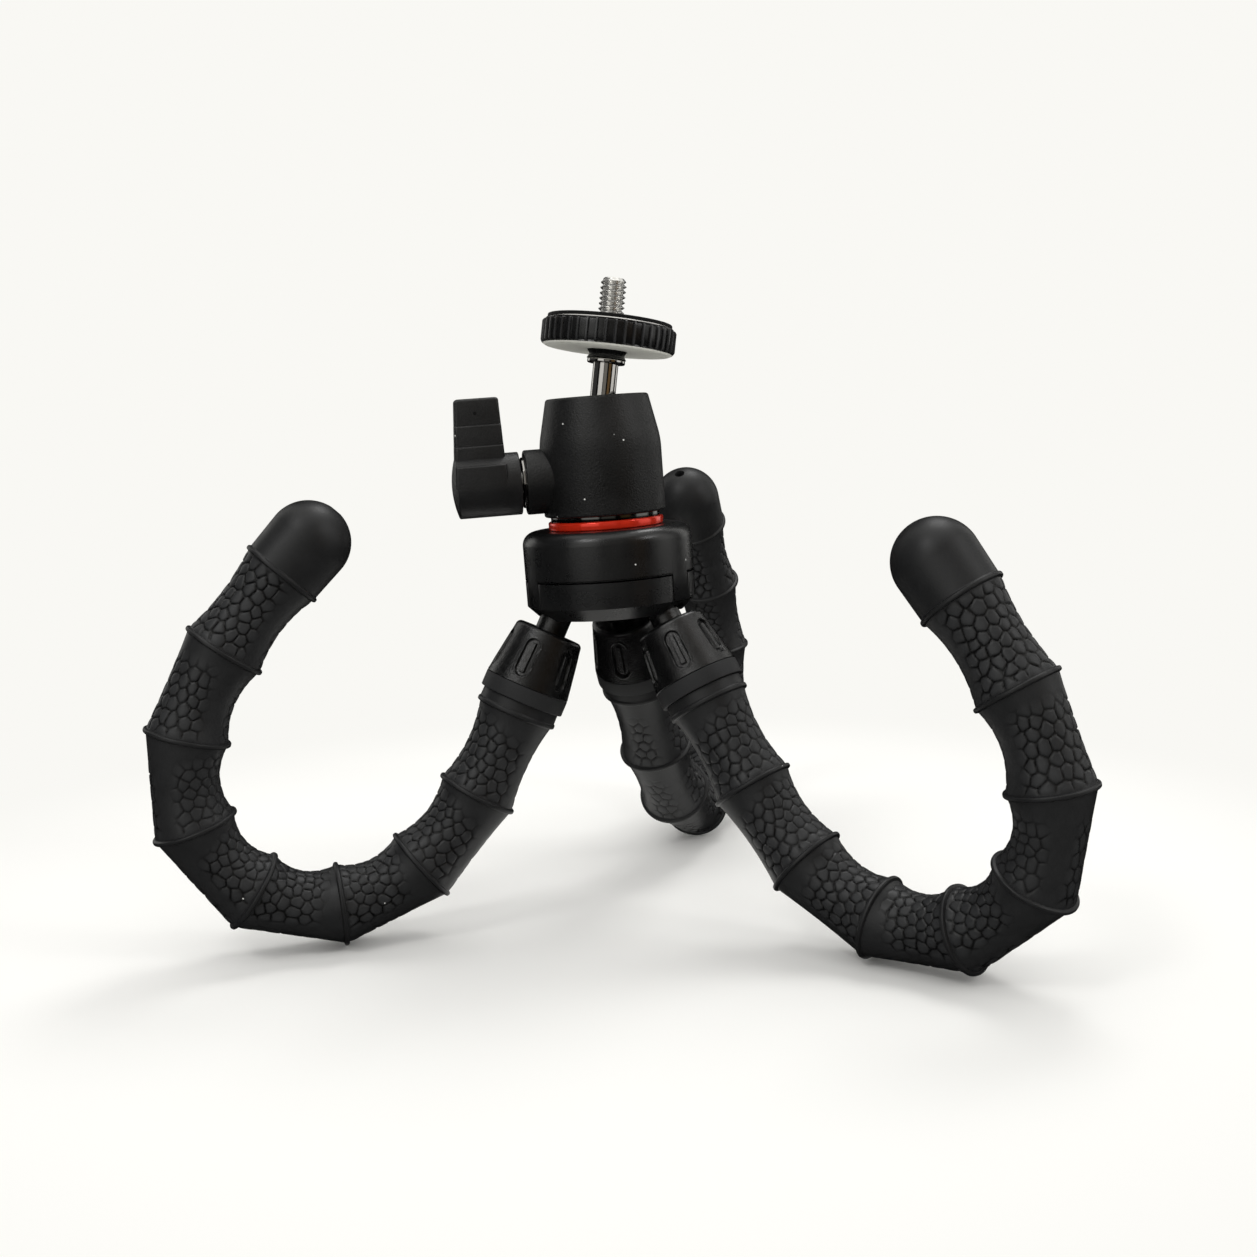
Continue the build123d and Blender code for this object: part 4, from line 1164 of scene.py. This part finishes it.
class TRIPOD_OT_ring(bpy.types.Operator):
    """Make the red ring and its washer"""

    bl_idname = "tripod.ring"
    bl_label = "Ring"

    def execute(self, context):
        make_ring()
        return {"FINISHED"}


class TRIPOD_OT_housing(bpy.types.Operator):
    """Make the head's housing"""

    bl_idname = "tripod.housing"
    bl_label = "Housing"

    def execute(self, context):
        make_housing()
        return {"FINISHED"}


class TRIPOD_OT_ball(bpy.types.Operator):
    """Make the ball, its stem and the camera screw"""

    bl_idname = "tripod.ball"
    bl_label = "Ball"

    def execute(self, context):
        make_ball()
        make_screw()
        return {"FINISHED"}


class TRIPOD_OT_disc(bpy.types.Operator):
    """Make the knurled disc and its pad"""

    bl_idname = "tripod.disc"
    bl_label = "Disc"

    def execute(self, context):
        make_disc()
        return {"FINISHED"}


class TRIPOD_OT_lever(bpy.types.Operator):
    """Make the clamp lever"""

    bl_idname = "tripod.lever"
    bl_label = "Lever"

    def execute(self, context):
        make_lever()
        return {"FINISHED"}


class TRIPOD_OT_hidden(bpy.types.Operator):
    """Give the inner pieces their finishes"""

    bl_idname = "tripod.hidden"
    bl_label = "Inner Pieces"

    def execute(self, context):
        dress_hidden()
        return {"FINISHED"}


class TRIPOD_OT_stage(bpy.types.Operator):
    """Make the floor, the background, the cards, the lamps and the camera"""

    bl_idname = "tripod.stage"
    bl_label = "Stage"

    def execute(self, context):
        make_stage(context.scene.tripod_stage)
        return {"FINISHED"}


STEPS = (
    TRIPOD_OT_finishes,
    TRIPOD_OT_rubber,
    TRIPOD_OT_collars,
    TRIPOD_OT_hub,
    TRIPOD_OT_ring,
    TRIPOD_OT_housing,
    TRIPOD_OT_ball,
    TRIPOD_OT_disc,
    TRIPOD_OT_lever,
    TRIPOD_OT_hidden,
    TRIPOD_OT_stage,
)


class TRIPOD_PT_pieces(bpy.types.Panel):
    """The tripod's pieces and stage, in the order in which they are made"""

    bl_idname = "TRIPOD_PT_pieces"
    bl_label = "Tripod"
    bl_space_type = "VIEW_3D"
    bl_region_type = "UI"
    bl_category = "Tripod"

    def draw(self, context):
        for step in STEPS:
            self.layout.operator(step.bl_idname)


SETTINGS = {
    "tripod_legs": TripodLegSizes,
    "tripod_hub": TripodHubSizes,
    "tripod_looks": TripodLooks,
    "tripod_stage": TripodStageSettings,
}
CLASSES = (*SETTINGS.values(), *STEPS, TRIPOD_PT_pieces)


def register():
    """Registers the classes and hangs the settings on the scene."""
    for kind in CLASSES:
        bpy.utils.register_class(kind)
    for label, settings in SETTINGS.items():
        setattr(bpy.types.Scene, label, PointerProperty(type=settings))


def unregister():
    """Takes off the settings and the classes."""
    for label in SETTINGS:
        delattr(bpy.types.Scene, label)
    for kind in reversed(CLASSES):
        bpy.utils.unregister_class(kind)


def main():
    """Makes every piece and the stage."""
    register()
    for step in STEPS:
        area, name = step.bl_idname.split(".")
        getattr(getattr(bpy.ops, area), name)()


if __name__ == "__main__":
    main()
